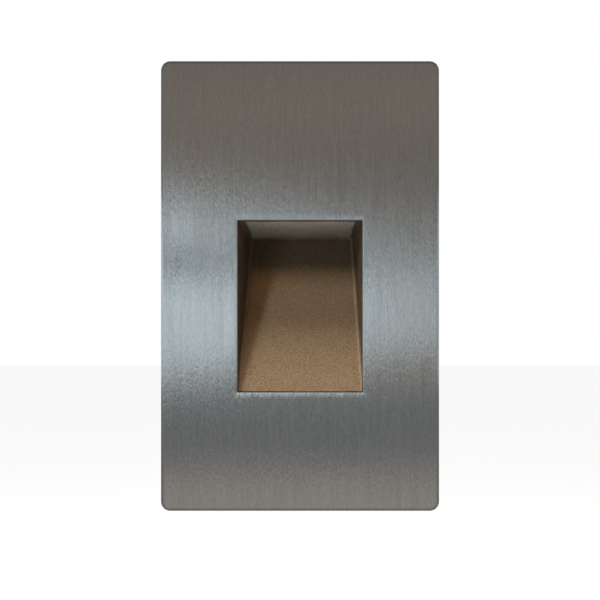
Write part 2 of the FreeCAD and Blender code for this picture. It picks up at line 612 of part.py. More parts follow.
def make_stud_grommets():
    """Four headed rubber bushes, flush with the flange's front, that grip the studs."""
    body = new_body("stud_grommets")
    bore = "Size.stud_radius + Size.stud_play"
    profile = [
        (bore, "0"),
        ("Size.grommet_radius + Size.grommet_lip", "0"),
        ("Size.grommet_radius + Size.grommet_lip", "Size.grommet_lip"),
        ("Size.grommet_radius", "Size.grommet_lip"),
        ("Size.grommet_radius", "Size.grommet_depth"),
        (bore, "Size.grommet_depth"),
    ]
    bush = turned(body, "Bush", profile, "-Place.stud_x", "-Place.stud_z")
    repeat(body, "Corners", [bush], [("X_Axis", "2 * Place.stud_x", 2), ("Y_Axis", "2 * Place.stud_z", 2)])
    place(body, "Place.flange_front")


def make_wall_gasket():
    """Foam sheet between the flange and the wall, open round the tub and the box screws."""
    body = new_body("wall_gasket")
    outline = centred("Place.flange_x - Size.gasket_inset", "Place.flange_z - Size.gasket_inset")
    opening = rectangle("-(Place.tub_x + Size.gasket_play)", "Place.tub_bottom - Size.gasket_play",
                        "Place.tub_x + Size.gasket_play", "Place.tub_top + Size.gasket_play")
    slab(body, "Sheet", [outline, opening], "Place.flange_back", "0")
    holes = [("0", f"{side}Place.box_screw_z", "Size.retainer_radius + Size.slide_play")
             for side in ("-", "")]
    slab(body, "ScrewHoles", holes, "Place.flange_back", "0", kind="Pocket")
    round_outer_corners(body, "Corners", "Place.flange_x - Size.gasket_inset", "Size.flange_corner")


# ---------------------------------------------------------------- screws


def pan_screw(body, name, radius, length, head_radius, head_height, across="0", up="0", neck=()):
    """A screw with its head above z = 0 and its shank below, slotted across the head."""
    profile = [
        ("0", f"-({length})"),
        (radius, f"-({length})"),
        *neck,
        (neck[-1][0] if neck else radius, "0"),
        (head_radius, "0"),
        (head_radius, head_height),
        ("0", head_height),
    ]
    shank = turned(body, name, profile, across, up)
    slot = rectangle(f"({across}) - ({head_radius})", f"({up}) - Size.slot_width / 2",
                     f"({across}) + ({head_radius})", f"({up}) + Size.slot_width / 2")
    cut = level_slab(body, f"{name}Slot", [slot], f"({head_height}) / 2", head_height, kind="Pocket")
    return [shank, cut]


def make_box_screws():
    """The two long screws that hold the flange to the wall box, with a neck that a washer keeps in."""
    body = new_body("box_screws")
    neck_end = "Place.box_head_seat - Place.flange_back - Size.retainer_thickness - Size.box_neck_play"
    neck = [("Size.box_screw_radius", neck_end), ("Size.box_screw_neck", neck_end)]
    made = pan_screw(body, "Screw", "Size.box_screw_radius", "Size.box_screw_length",
                     "Size.box_head_radius", "Size.box_head_height", up="-Place.box_screw_z", neck=neck)
    repeat(body, "Pair", made, [("Y_Axis", "2 * Place.box_screw_z", 2)])
    place(body, "Place.box_head_seat", faces_wall=False)


def make_screw_retainers():
    """Fibre washers on the box screws' necks, too narrow for the thread to come back through."""
    body = new_body("screw_retainers")
    hole = "Size.box_screw_neck + Size.thread_play"
    profile = [
        (hole, "0"),
        ("Size.retainer_radius", "0"),
        ("Size.retainer_radius", "Size.retainer_thickness"),
        (hole, "Size.retainer_thickness"),
    ]
    washer = turned(body, "Washer", profile, up="-Place.box_screw_z")
    repeat(body, "Pair", [washer], [("Y_Axis", "2 * Place.box_screw_z", 2)])
    place(body, "Place.flange_back")


def make_carrier_screws():
    """Two screws through the carrier's tab."""
    body = new_body("carrier_screws")
    made = pan_screw(body, "Screw", "Size.small_screw_radius", "Size.small_screw_length",
                     "Size.small_head_radius", "Size.small_head_height", across="-Place.carrier_screw_x")
    repeat(body, "Pair", made, [("X_Axis", "2 * Place.carrier_screw_x", 2)])
    place(body, "Place.carrier_back", z="Place.carrier_screw_z")


def make_driver_screws():
    """Four screws that hold the driver board to its pillars."""
    body = new_body("driver_screws")
    height = "(Place.pillar_top - Place.pillar_z)"
    made = pan_screw(body, "Screw", "Size.small_screw_radius", "Size.small_screw_length",
                     "Size.small_head_radius", "Size.small_head_height",
                     across="-Place.pillar_x", up=f"-{height} / 2")
    repeat(body, "Corners", made, [("X_Axis", "2 * Place.pillar_x", 2), ("Y_Axis", height, 2)])
    place(body, "Place.driver_rear", z="(Place.pillar_top + Place.pillar_z) / 2")


def make_rear_cover_screws():
    """Four screws at the corners of the rear cover."""
    body = new_body("rear_cover_screws")
    height = "(Place.rear_boss_high - Place.rear_boss_low)"
    made = pan_screw(body, "Screw", "Size.rear_screw_radius", "Size.rear_screw_length",
                     "Size.rear_head_radius", "Size.rear_head_height",
                     across="-Place.rear_boss_x", up=f"-{height} / 2")
    repeat(body, "Corners", made, [("X_Axis", "2 * Place.rear_boss_x", 2), ("Y_Axis", height, 2)])
    place(body, "Place.rear_face", z="(Place.rear_boss_high + Place.rear_boss_low) / 2")


# ---------------------------------------------------------------- lamp chamber


def sloping_slab(body, name, y_front, y_back, low, high, width, kind="Pad"):
    """A plate that follows the chamber's sloping floor, from one height over it to another."""
    points = [
        (y_front, f"{chamber_floor(y_front)} + {low}"),
        (y_back, f"{chamber_floor(y_back)} + {low}"),
        (y_back, f"{chamber_floor(y_back)} + {high}"),
        (y_front, f"{chamber_floor(y_front)} + {high}"),
    ]
    return side_profile(body, name, points, width, kind)


def make_lens_seal():
    """Silicone frame between the lens and the ceiling of the scoop."""
    body = new_body("lens_seal")
    sloping_slab(body, "Frame", "Place.lens_front", "Place.lens_back", "0", "Size.lens_seal",
                 "2 * Place.lens_x")
    light = rectangle("-Place.light_x", "Place.light_front", "Place.light_x", "Place.light_back")
    level_slab(body, "Opening", [light], "Place.scoop_back_low", "Place.chamber_top", kind="Pocket")


def make_lens():
    """Frosted pane: its rim lies on the seal, its lowered face fills the opening in the ceiling."""
    body = new_body("lens")
    sloping_slab(body, "Plate", "Place.lens_front", "Place.lens_back", "Size.lens_seal",
                 "Size.lens_seal + Size.lens_thickness", "2 * Place.lens_x")
    sloping_slab(body, "Face", "Place.light_front + Size.lens_step_play",
                 "Place.light_back - Size.lens_step_play", "Size.lens_flush - Size.ceiling_wall",
                 "Size.lens_seal + Size.lens_thickness / 2", "2 * (Place.light_x - Size.lens_step_play)")


def make_reflector():
    """White open frame that stands on the lens and stops under the rails."""
    body = new_body("reflector")
    on_lens = "Size.lens_seal + Size.lens_thickness"
    top = "Place.rail_low - Size.slide_play"
    points = [
        ("Place.lens_front", f"{chamber_floor('Place.lens_front')} + {on_lens}"),
        ("Place.lens_back", f"{chamber_floor('Place.lens_back')} + {on_lens}"),
        ("Place.lens_back", top),
        ("Place.lens_front", top),
    ]
    half = "(Place.scoop_x - Size.reflector_inset)"
    side_profile(body, "Block", points, f"2 * {half}")
    well = rectangle(f"-({half} - Size.reflector_wall)", "Place.lens_front + Size.reflector_wall",
                     f"{half} - Size.reflector_wall", "Place.lens_back - Size.reflector_wall")
    level_slab(body, "Well", [well], "Place.scoop_back_low", top, kind="Pocket")


def tiny_screw_spots(radius):
    """The four lamp board screws, seen from above."""
    half = "Place.lamp_x - Size.tiny_screw_inset"
    ends = ("Place.lamp_front + Size.tiny_screw_inset", "Place.lamp_back - Size.tiny_screw_inset")
    return [(f"{side}({half})", end, radius) for side in ("-", "") for end in ends]


def make_led_carrier():
    """Bent aluminium plate that slides in on the rails and takes the lamps' heat."""
    body = new_body("led_carrier")
    front = "Place.web_back + Size.carrier_play"
    tab_low = "Place.carrier_low - Size.carrier_tab"
    points = [
        (front, "Place.carrier_low"),
        ("Place.carrier_tab_front", "Place.carrier_low"),
        ("Place.carrier_tab_front", tab_low),
        ("Place.carrier_back", tab_low),
        ("Place.carrier_back", "Place.chamber_top"),
        (front, "Place.chamber_top"),
    ]
    side_profile(body, "Angle", points, "2 * (Place.scoop_x - Size.carrier_play)")
    taps = tiny_screw_spots("Size.tiny_screw_radius + Size.thread_play")
    level_slab(body, "BoardTaps", taps, "Place.carrier_low", "Place.chamber_top", kind="Pocket")
    holes = [(f"{side}Place.carrier_screw_x", "Place.carrier_screw_z",
              "Size.small_screw_radius + Size.slide_play") for side in ("-", "")]
    slab(body, "TabHoles", holes, "Place.carrier_tab_front", "Place.carrier_back", kind="Pocket")

    def at_bend(edge):
        return (runs_along(edge, X_AXIS) and all_at(edge, Y_AXIS, "Place.carrier_back")
                and all_at(edge, Z_AXIS, "Place.chamber_top"))

    dress(body, "Fillet", "Bend", at_bend, "Radius", "Size.carrier_thickness * 3 / 4")


def flat_board(label, low, high):
    """A board or pad with the lamp board's outline and screw holes."""
    body = new_body(label)
    outline = rectangle("-Place.lamp_x", "Place.lamp_front", "Place.lamp_x", "Place.lamp_back")
    holes = tiny_screw_spots("Size.tiny_screw_radius + Size.slide_play")
    level_slab(body, "Sheet", [outline] + holes, low, high)


def make_leds():
    """Six lamp packages under the lamp board."""
    body = new_body("leds")
    half = "Size.led_side / 2"
    row = "(Place.lamp_front + Size.led_first)"
    package = rectangle(f"-Size.led_pitch_x - {half}", f"{row} - {half}",
                        f"-Size.led_pitch_x + {half}", f"{row} + {half}")
    first = level_slab(body, "Package", [package], "Place.lamp_low - Size.led_height", "Place.lamp_low")
    repeat(body, "Array", [first], [("X_Axis", "2 * Size.led_pitch_x", 3), ("Y_Axis", "Size.led_pitch_y", 2)])


def make_led_board_screws():
    """Four small screws that clamp the lamp board and its pad to the carrier."""
    body = new_body("led_board_screws")
    length = "Size.lamp_board_thickness + Size.pad_thickness + Size.carrier_thickness - Size.slide_play"
    half = "(Place.lamp_x - Size.tiny_screw_inset)"
    span = "(Place.lamp_back - Place.lamp_front - 2 * Size.tiny_screw_inset)"
    made = pan_screw(body, "Screw", "Size.tiny_screw_radius", length, "Size.tiny_head_radius",
                     "Size.tiny_head_height", across=f"-{half}", up=f"-{span} / 2")
    repeat(body, "Corners", made, [("X_Axis", f"2 * {half}", 2), ("Y_Axis", span, 2)])
    body.Placement = FreeCAD.Placement(VECTOR(0, 0, 0), FreeCAD.Rotation(VECTOR(1, 0, 0), 180))
    tie(body, "Placement.Base.y", "(Place.lamp_front + Place.lamp_back) / 2")
    tie(body, "Placement.Base.z", "Place.lamp_low")


def make_lamp_plug():
    """Two-way plug on the lamp board, behind the reflector."""
    body = new_body("lamp_plug")
    half = "Size.lamp_plug_width / 2"
    outline = rectangle(f"-{half}", "Place.lamp_back - Size.lamp_plug_length - Size.slide_play",
                        half, "Place.lamp_back - Size.slide_play")
    level_slab(body, "Block", [outline], "Place.lamp_low - Size.lamp_plug_height", "Place.lamp_low")


# ---------------------------------------------------------------- driver


def make_driver_board():
    """Board behind the ramp, with its parts on the ramp's side."""
    body = new_body("driver_board")
    outline = rectangle("-Place.driver_x", "Place.driver_low", "Place.driver_x", "Place.driver_high")
    holes = at_corners("Place.pillar_x", "Place.pillar_z", "Place.pillar_top",
                       "Size.small_screw_radius + Size.slide_play")
    slab(body, "Sheet", [outline] + holes, "Place.driver_front", "Place.driver_rear")


def make_driver_part(label, outline):
    """One part that stands on the driver board, on the ramp's side."""
    body = new_body(label)
    slab(body, "Block", [outline], f"Place.driver_front - Size.{label}_deep", "Place.driver_front")


def boxed(label, across, low):
    """Outline of a boxed part, from its middle and its foot."""
    half = f"Size.{label}_wide / 2"
    return rectangle(f"{across} - {half}", low, f"{across} + {half}", f"{low} + Size.{label}_high")


def make_driver_parts():
    """The parts on the driver board, in rows from its foot up, each row from the one below it."""
    left, right = "-Place.side_column", "Place.side_column"
    left_edge = "Size.driver_side - Place.driver_x"
    beside_can = "Place.side_column - Size.bulk_capacitor_radius - Size.driver_gap"
    make_driver_part("transformer", rectangle(left_edge, "Place.first_row", beside_can,
                                              "Place.first_row + Size.transformer_high"))
    can_up = "Place.first_row + Size.bulk_capacitor_radius + Size.driver_gap"
    make_driver_part("bulk_capacitor", (right, can_up, "Size.bulk_capacitor_radius"))
    beside_choke = "Place.side_column - Size.line_choke_radius - Size.driver_row_gap"
    make_driver_part("film_capacitor", rectangle(left_edge, "Place.second_row", beside_choke,
                                                 "Place.second_row + Size.film_capacitor_high"))
    choke_up = "Place.second_row + Size.film_capacitor_high / 2"
    make_driver_part("line_choke", (right, choke_up, "Size.line_choke_radius"))
    disc_up = "Place.third_row + Size.surge_absorber_radius"
    make_driver_part("surge_absorber", ("0", disc_up, "Size.surge_absorber_radius"))
    make_driver_part("input_fuse", (left, disc_up, "Size.input_fuse_radius"))
    make_driver_part("bridge_rectifier", boxed("bridge_rectifier", right, "Place.third_row"))
    make_driver_part("output_plug", boxed("output_plug", "0", "Place.plug_row"))
    make_driver_part("driver_chip", boxed("driver_chip", left, "Place.plug_row"))


def make_lead(label, side):
    """One short wire from the driver's plug up to the lamp board's plug."""
    body = new_body(label)
    middle = "Place.lamp_back - Size.slide_play - Size.lamp_plug_length / 2"
    spot = (f"{side}Size.lead_pitch / 2", middle, "Size.lead_radius")
    level_slab(body, "Wire", [spot], "Place.plug_top", "Place.lamp_low - Size.lamp_plug_height")


# ---------------------------------------------------------------- rear


def make_rear_gasket():
    """Silicone ring between the tub's open back and the rear cover."""
    body = new_body("rear_gasket")
    outer = rectangle("-Place.tub_x", "Place.tub_bottom", "Place.tub_x", "Place.tub_top")
    inner = rectangle("-Place.scoop_x", "Place.scoop_bottom", "Place.scoop_x", "Place.chamber_top")
    corners = ("Place.rear_boss_x", "Place.rear_boss_low", "Place.rear_boss_high")
    slab(body, "Ring", [outer, inner], "Place.tub_back", "Place.rear_seal_back")
    round_outer_corners(body, "Corners", "Place.tub_x", "Size.tub_corner")
    slab(body, "Ears", at_corners(*corners, "Size.rear_boss"), "Place.tub_back", "Place.rear_seal_back")
    slab(body, "Holes", at_corners(*corners, "Size.rear_screw_radius + Size.slide_play"),
         "Place.tub_back", "Place.rear_seal_back", kind="Pocket")


def make_rear_cover():
    """Plate that closes the tub, with the cable gland's hole and the ground screw's."""
    body = new_body("rear_cover")
    outer = rectangle("-Place.tub_x", "Place.tub_bottom", "Place.tub_x", "Place.tub_top")
    corners = ("Place.rear_boss_x", "Place.rear_boss_low", "Place.rear_boss_high")
    slab(body, "Plate", [outer], "Place.rear_seal_back", "Place.rear_face")
    round_outer_corners(body, "Corners", "Place.tub_x", "Size.tub_corner")
    dress(body, "Chamfer", "RearEdge", lambda edge: all_at(edge, Y_AXIS, "Place.rear_face"),
          "Size", "Size.rear_cover_edge")
    holes = at_corners(*corners, "Size.rear_screw_radius + Size.slide_play") + [
        ("0", "-Size.gland_drop", "Size.gland_thread + Size.slide_play"),
        ("0", "Size.ground_height", "Size.ground_radius + Size.thread_play"),
    ]
    slab(body, "Holes", holes, "Place.rear_seal_back", "Place.rear_face", kind="Pocket")


def hexagon(half_flats):
    """Corner points of a hexagon, point up, from half the width across its flats."""
    reach = f"({half_flats}) / cos(30deg)"
    return [(f"{reach} * sin({turn}deg)", f"{reach} * cos({turn}deg)") for turn in range(30, 390, 60)]


def make_gland_body():
    """Cable gland: a thread through the rear cover, a hexagon outside it and a seal's seat."""
    body = new_body("gland_body")
    inner_end = "-(Size.rear_cover_thickness + Size.gland_nut_depth + Size.head_play)"
    outer_end = "Size.gland_flange_depth + Size.gland_collar"
    seat = "Size.gland_bore + Size.seal_wall + Size.slide_play"
    profile = [
        ("Size.gland_bore", inner_end),
        ("Size.gland_thread", inner_end),
        ("Size.gland_thread", outer_end),
        (seat, outer_end),
        (seat, f"{outer_end} - Size.gland_seat"),
        ("Size.gland_bore", f"{outer_end} - Size.gland_seat"),
    ]
    turned(body, "Tube", profile)
    flats = [hexagon("Size.gland_flange"), ("0", "0", "(Size.gland_bore + Size.gland_thread) / 2")]
    level_slab(body, "Hexagon", flats, "0", "Size.gland_flange_depth")
    place(body, "Place.rear_face", z="-Size.gland_drop")


def make_gland_nut():
    """Lock nut on the gland's thread, inside the rear cover."""
    body = new_body("gland_nut")
    outline = [hexagon("Size.gland_flange"), ("0", "0", "Size.gland_thread + Size.thread_play")]
    level_slab(body, "Nut", outline, "-Size.gland_nut_depth", "0")
    place(body, "Place.rear_seal_back", z="-Size.gland_drop")


def make_gland_seal():
    """Rubber ring in the gland's seat, which the cap squeezes on to the cable."""
    body = new_body("gland_seal")
    foot = "Size.gland_flange_depth + Size.gland_collar - Size.gland_seat"
    head = "Size.gland_flange_depth + Size.gland_collar + Size.seal_proud"
    inner = "Size.gland_bore + Size.slide_play"
    outer = "Size.gland_bore + Size.seal_wall"
    turned(body, "Ring", [(inner, foot), (outer, foot), (outer, head), (inner, head)])
    place(body, "Place.rear_face", z="-Size.gland_drop")


def make_gland_cap():
    """Screwed cap over the gland's collar."""
    body = new_body("gland_cap")
    foot = "Size.gland_flange_depth + Size.slide_play"
    shoulder = "Size.gland_flange_depth + Size.gland_collar + Size.seal_proud"
    head = f"{shoulder} + Size.gland_cap_wall"
    inner = "Size.gland_thread + Size.thread_play"
    outer = f"{inner} + Size.gland_cap_wall"
    mouth = "Size.gland_bore + Size.head_play"
    turned(body, "Cap", [(inner, foot), (outer, foot), (outer, shoulder),
                         (f"{outer} - Size.gland_cap_wall / 2", head), (mouth, head),
                         (mouth, shoulder), (inner, shoulder)])
    place(body, "Place.rear_face", z="-Size.gland_drop")


def make_ground_screw():
    """Hexagon screw with its own washer, for the ground wire."""
    body = new_body("ground_screw")
    profile = [
        ("0", "-Size.ground_length"),
        ("Size.ground_radius", "-Size.ground_length"),
        ("Size.ground_radius", "0"),
        ("Size.ground_washer", "0"),
        ("Size.ground_washer", "Size.ground_washer_depth"),
        ("0", "Size.ground_washer_depth"),
    ]
    turned(body, "Shank", profile)
    level_slab(body, "Head", [hexagon("Size.ground_head")], "Size.ground_washer_depth / 2",
               "Size.ground_washer_depth + Size.ground_head_height")
    slot = centred("2 * Size.ground_head", "Size.slot_width / 2")
    level_slab(body, "Slot", [slot], "Size.ground_washer_depth + Size.ground_head_height / 2",
               "Size.ground_washer_depth + Size.ground_head_height", kind="Pocket")
    place(body, "Place.rear_face", z="Size.ground_height")


def finish():
    """Checks every object and writes each piece to its own file."""
    DOC.recompute()
    faults = [f"{item.Label}: {item.State}" for item in DOC.Objects
              if "Invalid" in item.State or "Error" in item.State]
    for body in BODIES:
        if body.Shape.isNull() or not body.Shape.isValid() or not body.Shape.Solids:
            faults.append(f"{body.Label}: no valid solid")
    if faults:
        raise SystemExit("failed: " + "; ".join(faults))
    os.makedirs("parts", exist_ok=True)
    facets = 0
    for body in BODIES:
        body.Shape.exportStep(os.path.join("parts", f"{body.Label}.step"))
        triangles = len(body.Shape.tessellate(0.1)[1])
        facets += triangles
        box = body.Shape.BoundBox
        print(f"{body.Label:20s} solids {len(body.Shape.Solids)} volume {body.Shape.Volume:9.1f} "
              f"x {box.XMin:7.2f} {box.XMax:7.2f} y {box.YMin:7.2f} {box.YMax:7.2f} "
              f"z {box.ZMin:7.2f} {box.ZMax:7.2f} facets {triangles}")
    print(f"{len(BODIES)} pieces, {facets} facets")


make_face_plate()
make_cover_studs()
make_housing()
make_stud_grommets()
make_wall_gasket()
make_box_screws()
make_screw_retainers()
make_lens_seal()
make_lens()
make_reflector()
make_led_carrier()
flat_board("thermal_pad", "Place.pad_low", "Place.carrier_low")
flat_board("led_board", "Place.lamp_low", "Place.pad_low")
make_leds()
make_led_board_screws()
make_lamp_plug()
make_carrier_screws()
make_driver_board()
make_driver_screws()
make_driver_parts()
make_lead("lead_red", "")
make_lead("lead_black", "-")
make_rear_gasket()
make_rear_cover()
make_rear_cover_screws()
make_gland_body()
make_gland_nut()
make_gland_seal()
make_gland_cap()
make_ground_screw()
finish()
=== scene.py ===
# %% [markdown]
# # Dressing a recessed step light
# The solids of this light come from its CAD model: cover plate, cast housing, lens, lamp board,
# driver and cable gland. Here they get their finishes, a camera, a plain studio and a few small
# pieces that are easier to make as meshes. The frame is in metres: X to the right, Y into the
# wall, Z up, and the cover plate looks towards -Y.

# %% Load the frame
import math
import bpy
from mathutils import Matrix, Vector


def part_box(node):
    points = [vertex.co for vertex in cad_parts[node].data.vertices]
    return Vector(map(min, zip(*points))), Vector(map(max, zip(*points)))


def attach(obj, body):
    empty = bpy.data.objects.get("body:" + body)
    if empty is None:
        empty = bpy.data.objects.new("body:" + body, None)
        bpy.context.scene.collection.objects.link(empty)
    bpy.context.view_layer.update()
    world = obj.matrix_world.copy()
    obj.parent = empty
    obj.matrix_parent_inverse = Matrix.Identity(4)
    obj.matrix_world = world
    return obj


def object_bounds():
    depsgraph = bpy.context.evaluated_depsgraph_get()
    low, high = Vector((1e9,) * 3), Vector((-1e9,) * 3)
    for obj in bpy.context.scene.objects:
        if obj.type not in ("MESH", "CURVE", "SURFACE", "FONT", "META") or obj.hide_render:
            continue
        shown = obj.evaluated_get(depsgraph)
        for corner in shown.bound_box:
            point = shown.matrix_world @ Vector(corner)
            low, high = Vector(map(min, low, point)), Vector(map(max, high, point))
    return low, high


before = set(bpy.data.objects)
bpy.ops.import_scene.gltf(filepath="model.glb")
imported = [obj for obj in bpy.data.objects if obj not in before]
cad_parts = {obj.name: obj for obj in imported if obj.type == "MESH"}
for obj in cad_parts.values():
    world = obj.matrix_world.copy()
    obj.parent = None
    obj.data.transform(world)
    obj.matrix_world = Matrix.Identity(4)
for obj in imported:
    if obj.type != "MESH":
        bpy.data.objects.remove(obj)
CAD_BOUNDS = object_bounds()
bpy.ops.object.select_all(action="DESELECT")
MM = 0.001
PLATE_LOW, PLATE_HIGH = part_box("face_plate")

# %% [markdown]
# ## The camera
# A catalogue picture of a wall light is taken square on, here from 284 mm away. The lens sits a
# little right of the middle and level with the lower half of the window, which shows in the scoop:
# more of its left wall can be seen than of its right one. A small shift then centres the plate, as
# a view camera does, so that no edge of the plate leans.

# %% The camera
CAMERA_DISTANCE = 284 * MM
CAMERA_RIGHT = 3.5 * MM
CAMERA_UP = -9.1 * MM
PICTURE_WIDTH = 160.6 * MM
PICTURE_CENTRE = Vector((0.0, 0.0, -3.76 * MM))
SENSOR = 36.0

bpy.ops.object.camera_add(location=(CAMERA_RIGHT, PLATE_LOW.y - CAMERA_DISTANCE, CAMERA_UP),
                          rotation=(math.radians(90), 0, 0))
camera = bpy.context.object
camera.data.sensor_width = SENSOR
camera.data.lens = SENSOR * CAMERA_DISTANCE / PICTURE_WIDTH
camera.data.shift_x = (PICTURE_CENTRE.x - CAMERA_RIGHT) / PICTURE_WIDTH
camera.data.shift_y = (PICTURE_CENTRE.z - CAMERA_UP) / PICTURE_WIDTH
camera.data.clip_start = 0.01
bpy.context.scene.camera = camera
bpy.context.scene.view_settings.view_transform = "Standard"
print("lens", round(camera.data.lens, 1), "mm")

# %% [markdown]
# ## The studio
# Brushed metal has next to no colour of its own: what it shows is the room behind the camera. So
# the room is built with care. A wide dim wall gives the plate its quiet brown grey, a long window
# that narrows to the right gives the bright band across its middle, and a pale bench lights the
# plate's foot. They are cards that glow by themselves, which is simpler than lighting them, and
# only mirrors see them.

# %% Helpers for the studio
WALL_Y = -0.95
CARD_STEP = 0.01


def glow(name, colour):
    """A material that only shines."""
    material = bpy.data.materials.new(name)
    material.use_nodes = True
    nodes = material.node_tree.nodes
    nodes.clear()
    light = nodes.new("ShaderNodeEmission")
    light.inputs["Color"].default_value = (*colour, 1)
    light.inputs["Strength"].default_value = 1.0
    out = nodes.new("ShaderNodeOutputMaterial")
    material.node_tree.links.new(light.outputs[0], out.inputs["Surface"])
    return material


def for_mirrors(sheet, name, colour):
    """Makes a sheet glow and hides it from all rays except those that a mirror sends out."""
    sheet.name = name
    sheet.data.materials.append(glow(name, colour))
    for ray in ("camera", "diffuse", "transmission", "volume_scatter", "shadow"):
        setattr(sheet, f"visible_{ray}", False)
    print("  ", name, "shines for mirrors only")


def card(name, step, sides, low, high, colour):
    """An upright card near the studio's wall, which only mirrors see. Low and high are its lower
    and upper edge's heights at its left and right sides, all in metres."""
    bpy.ops.mesh.primitive_plane_add(size=1)
    sheet = bpy.context.object
    for vertex in sheet.data.vertices:
        side = 1 if vertex.co.x > 0 else 0
        edge = high if vertex.co.y > 0 else low
        vertex.co = (sides[side], WALL_Y + step * CARD_STEP, edge[side])
    for_mirrors(sheet, name, colour)


def lamp(name, place, aim, wide, tall, power, colour):
    """A soft lamp at a place, turned to a point. Its width, its height and its power in watts."""
    bpy.ops.object.light_add(type="AREA", location=place)
    made = bpy.context.object
    made.name = name
    made.data.shape = "RECTANGLE"
    made.data.size = wide
    made.data.size_y = tall
    made.data.energy = power
    made.data.color = colour
    made.rotation_euler = (Vector(aim) - Vector(place)).to_track_quat("-Z", "Y").to_euler()
    return made


# %% What the plate mirrors
FAR = (-4.0, 4.0)
STRIP = (-1.3, 0.14)
card("studio_wall", 0, FAR, (-1.0, -1.0), (3.0, 3.0), (0.25, 0.217, 0.186))
card("wall_top", 1, FAR, (0.275, 0.275), (3.0, 3.0), (0.222, 0.196, 0.172))
card("wall_shade", 1, (-0.05, 1.6), (0.06, 0.06), (0.20, 0.22), (0.195, 0.176, 0.156))
card("strip_window", 2, STRIP, (-0.242, -0.032), (0.403, 0.05), (0.76, 0.90, 0.96))
card("window_bar", 3, (-1.3, 0.02), (0.066, 0.037), (0.110, 0.067), (0.20, 0.22, 0.23))
card("wall_foot", 1, FAR, (-0.183, -0.183), (-0.085, -0.085), (0.185, 0.195, 0.20))
card("pale_bench", 1, FAR, (-1.0, -1.0), (-0.183, -0.183), (0.39, 0.365, 0.33))

# %% [markdown]
# The plate's outer edge is rounded, so it mirrors what stands beside it. In a white room that edge
# would melt into the background, and a photographer puts dark boards left, right, above and below,
# just out of the picture. These are the same, and again only mirrors see them. The window's light
# goes on across the side boards, because the edge is bright where the face is.

# %% Boards beside the plate
BOARD_AWAY = 0.45
BOARD_FRONT, BOARD_BACK = WALL_Y + 0.05, 1.6
BOARD_FOOT = -0.27
STRIP_LOW, STRIP_HIGH = -0.052, 0.072
SIDE_BOARDS = (("left", -BOARD_AWAY, (0.66, 0.76, 0.82)), ("right", BOARD_AWAY, (0.46, 0.52, 0.56)))
LEVEL_BOARDS = (("above", BOARD_AWAY, (0.14, 0.136, 0.132)), ("below", BOARD_FOOT, (0.24, 0.23, 0.22)))


def board(name, low, high, colour):
    """A glowing board in a box's flat side, given by two corners in metres, for mirrors only."""
    low, high = Vector(low), Vector(high)
    upright = low.x == high.x
    bpy.ops.mesh.primitive_plane_add(size=1)
    made = bpy.context.object
    for vertex in made.data.vertices:
        across = high if vertex.co.x > 0 else low
        along = high if vertex.co.y > 0 else low
        vertex.co = (low.x, along.y, across.z) if upright else (across.x, along.y, low.z)
    for_mirrors(made, name, colour)


for side, x, strip_colour in SIDE_BOARDS:
    inward = x - math.copysign(CARD_STEP, x)
    board("board_" + side, (x, BOARD_FRONT, BOARD_FOOT), (x, BOARD_BACK, BOARD_AWAY), (0.19, 0.187, 0.183))
    board("strip_" + side, (inward, BOARD_FRONT, STRIP_LOW), (inward, BOARD_BACK, STRIP_HIGH), strip_colour)
for side, z, colour in LEVEL_BOARDS:
    board("board_" + side, (-BOARD_AWAY, BOARD_FRONT, z), (BOARD_AWAY, BOARD_BACK, z), colour)
print("boards", BOARD_AWAY, "m from the plate's middle")

# %% [markdown]
# The scoop is matt and takes its light from lamps. A tall cool one and a small low one stand on the
# left, and the window's left edge cuts off part of their light. A narrow warm one, less far to the
# left, fills most of that shadow. One high above only reaches the foot of the ramp. The plate
# doesn't mirror these four, because the cards are its room. Two more stand behind the wall's plane
# and light the object's back, for views from there.

# %% The lamps
WINDOW_CENTRE = Vector((0, PLATE_LOW.y, -5.4 * MM))
LAMP_AWAY = 1.3
COOL = (0.74, 0.87, 1.0)
WARM = (1.0, 0.69, 0.35)
PALE = (1.0, 0.95, 0.86)
WHITE = (1.0, 1.0, 1.0)


def from_window(left, up):
    """A lamp's place, so many degrees to the left of the window and above it."""
    side, rise = math.radians(left), math.radians(up)
    return WINDOW_CENTRE + LAMP_AWAY * Vector((-math.sin(side) * math.cos(rise),
                                               -math.cos(side) * math.cos(rise), math.sin(rise)))


front_lamps = [
    lamp("low_daylight", from_window(17, 2), WINDOW_CENTRE, 0.14, 0.18, 4.1, COOL),
    lamp("daylight", from_window(18, 27), WINDOW_CENTRE, 0.12, 0.42, 17.1, COOL),
    lamp("warm_lamp", from_window(5, 24), WINDOW_CENTRE, 0.08, 0.26, 9.9, WARM),
    lamp("high_lamp", from_window(16, 74), WINDOW_CENTRE, 0.40, 0.90, 53.6, PALE),
]
for front_lamp in front_lamps:
    front_lamp.visible_glossy = False
OBJECT_MIDDLE = (CAD_BOUNDS[0] + CAD_BOUNDS[1]) / 2
lamp("rear_left", (-0.7, 0.9, 0.6), OBJECT_MIDDLE, 0.6, 0.6, 13, WHITE)
lamp("rear_right", (0.8, 0.8, 0.5), OBJECT_MIDDLE, 0.6, 0.6, 9, WHITE)
print("lamps in front:", [front_lamp.name for front_lamp in front_lamps])

# %% [markdown]
# The background is white for the eye, and for metal and glass that show it, while the light that it
# sheds on the object is set apart and kept low. The Light Path node tells the two kinds of ray from
# each other. The floor is nearly white in the same way, and the small rest keeps its shadow.

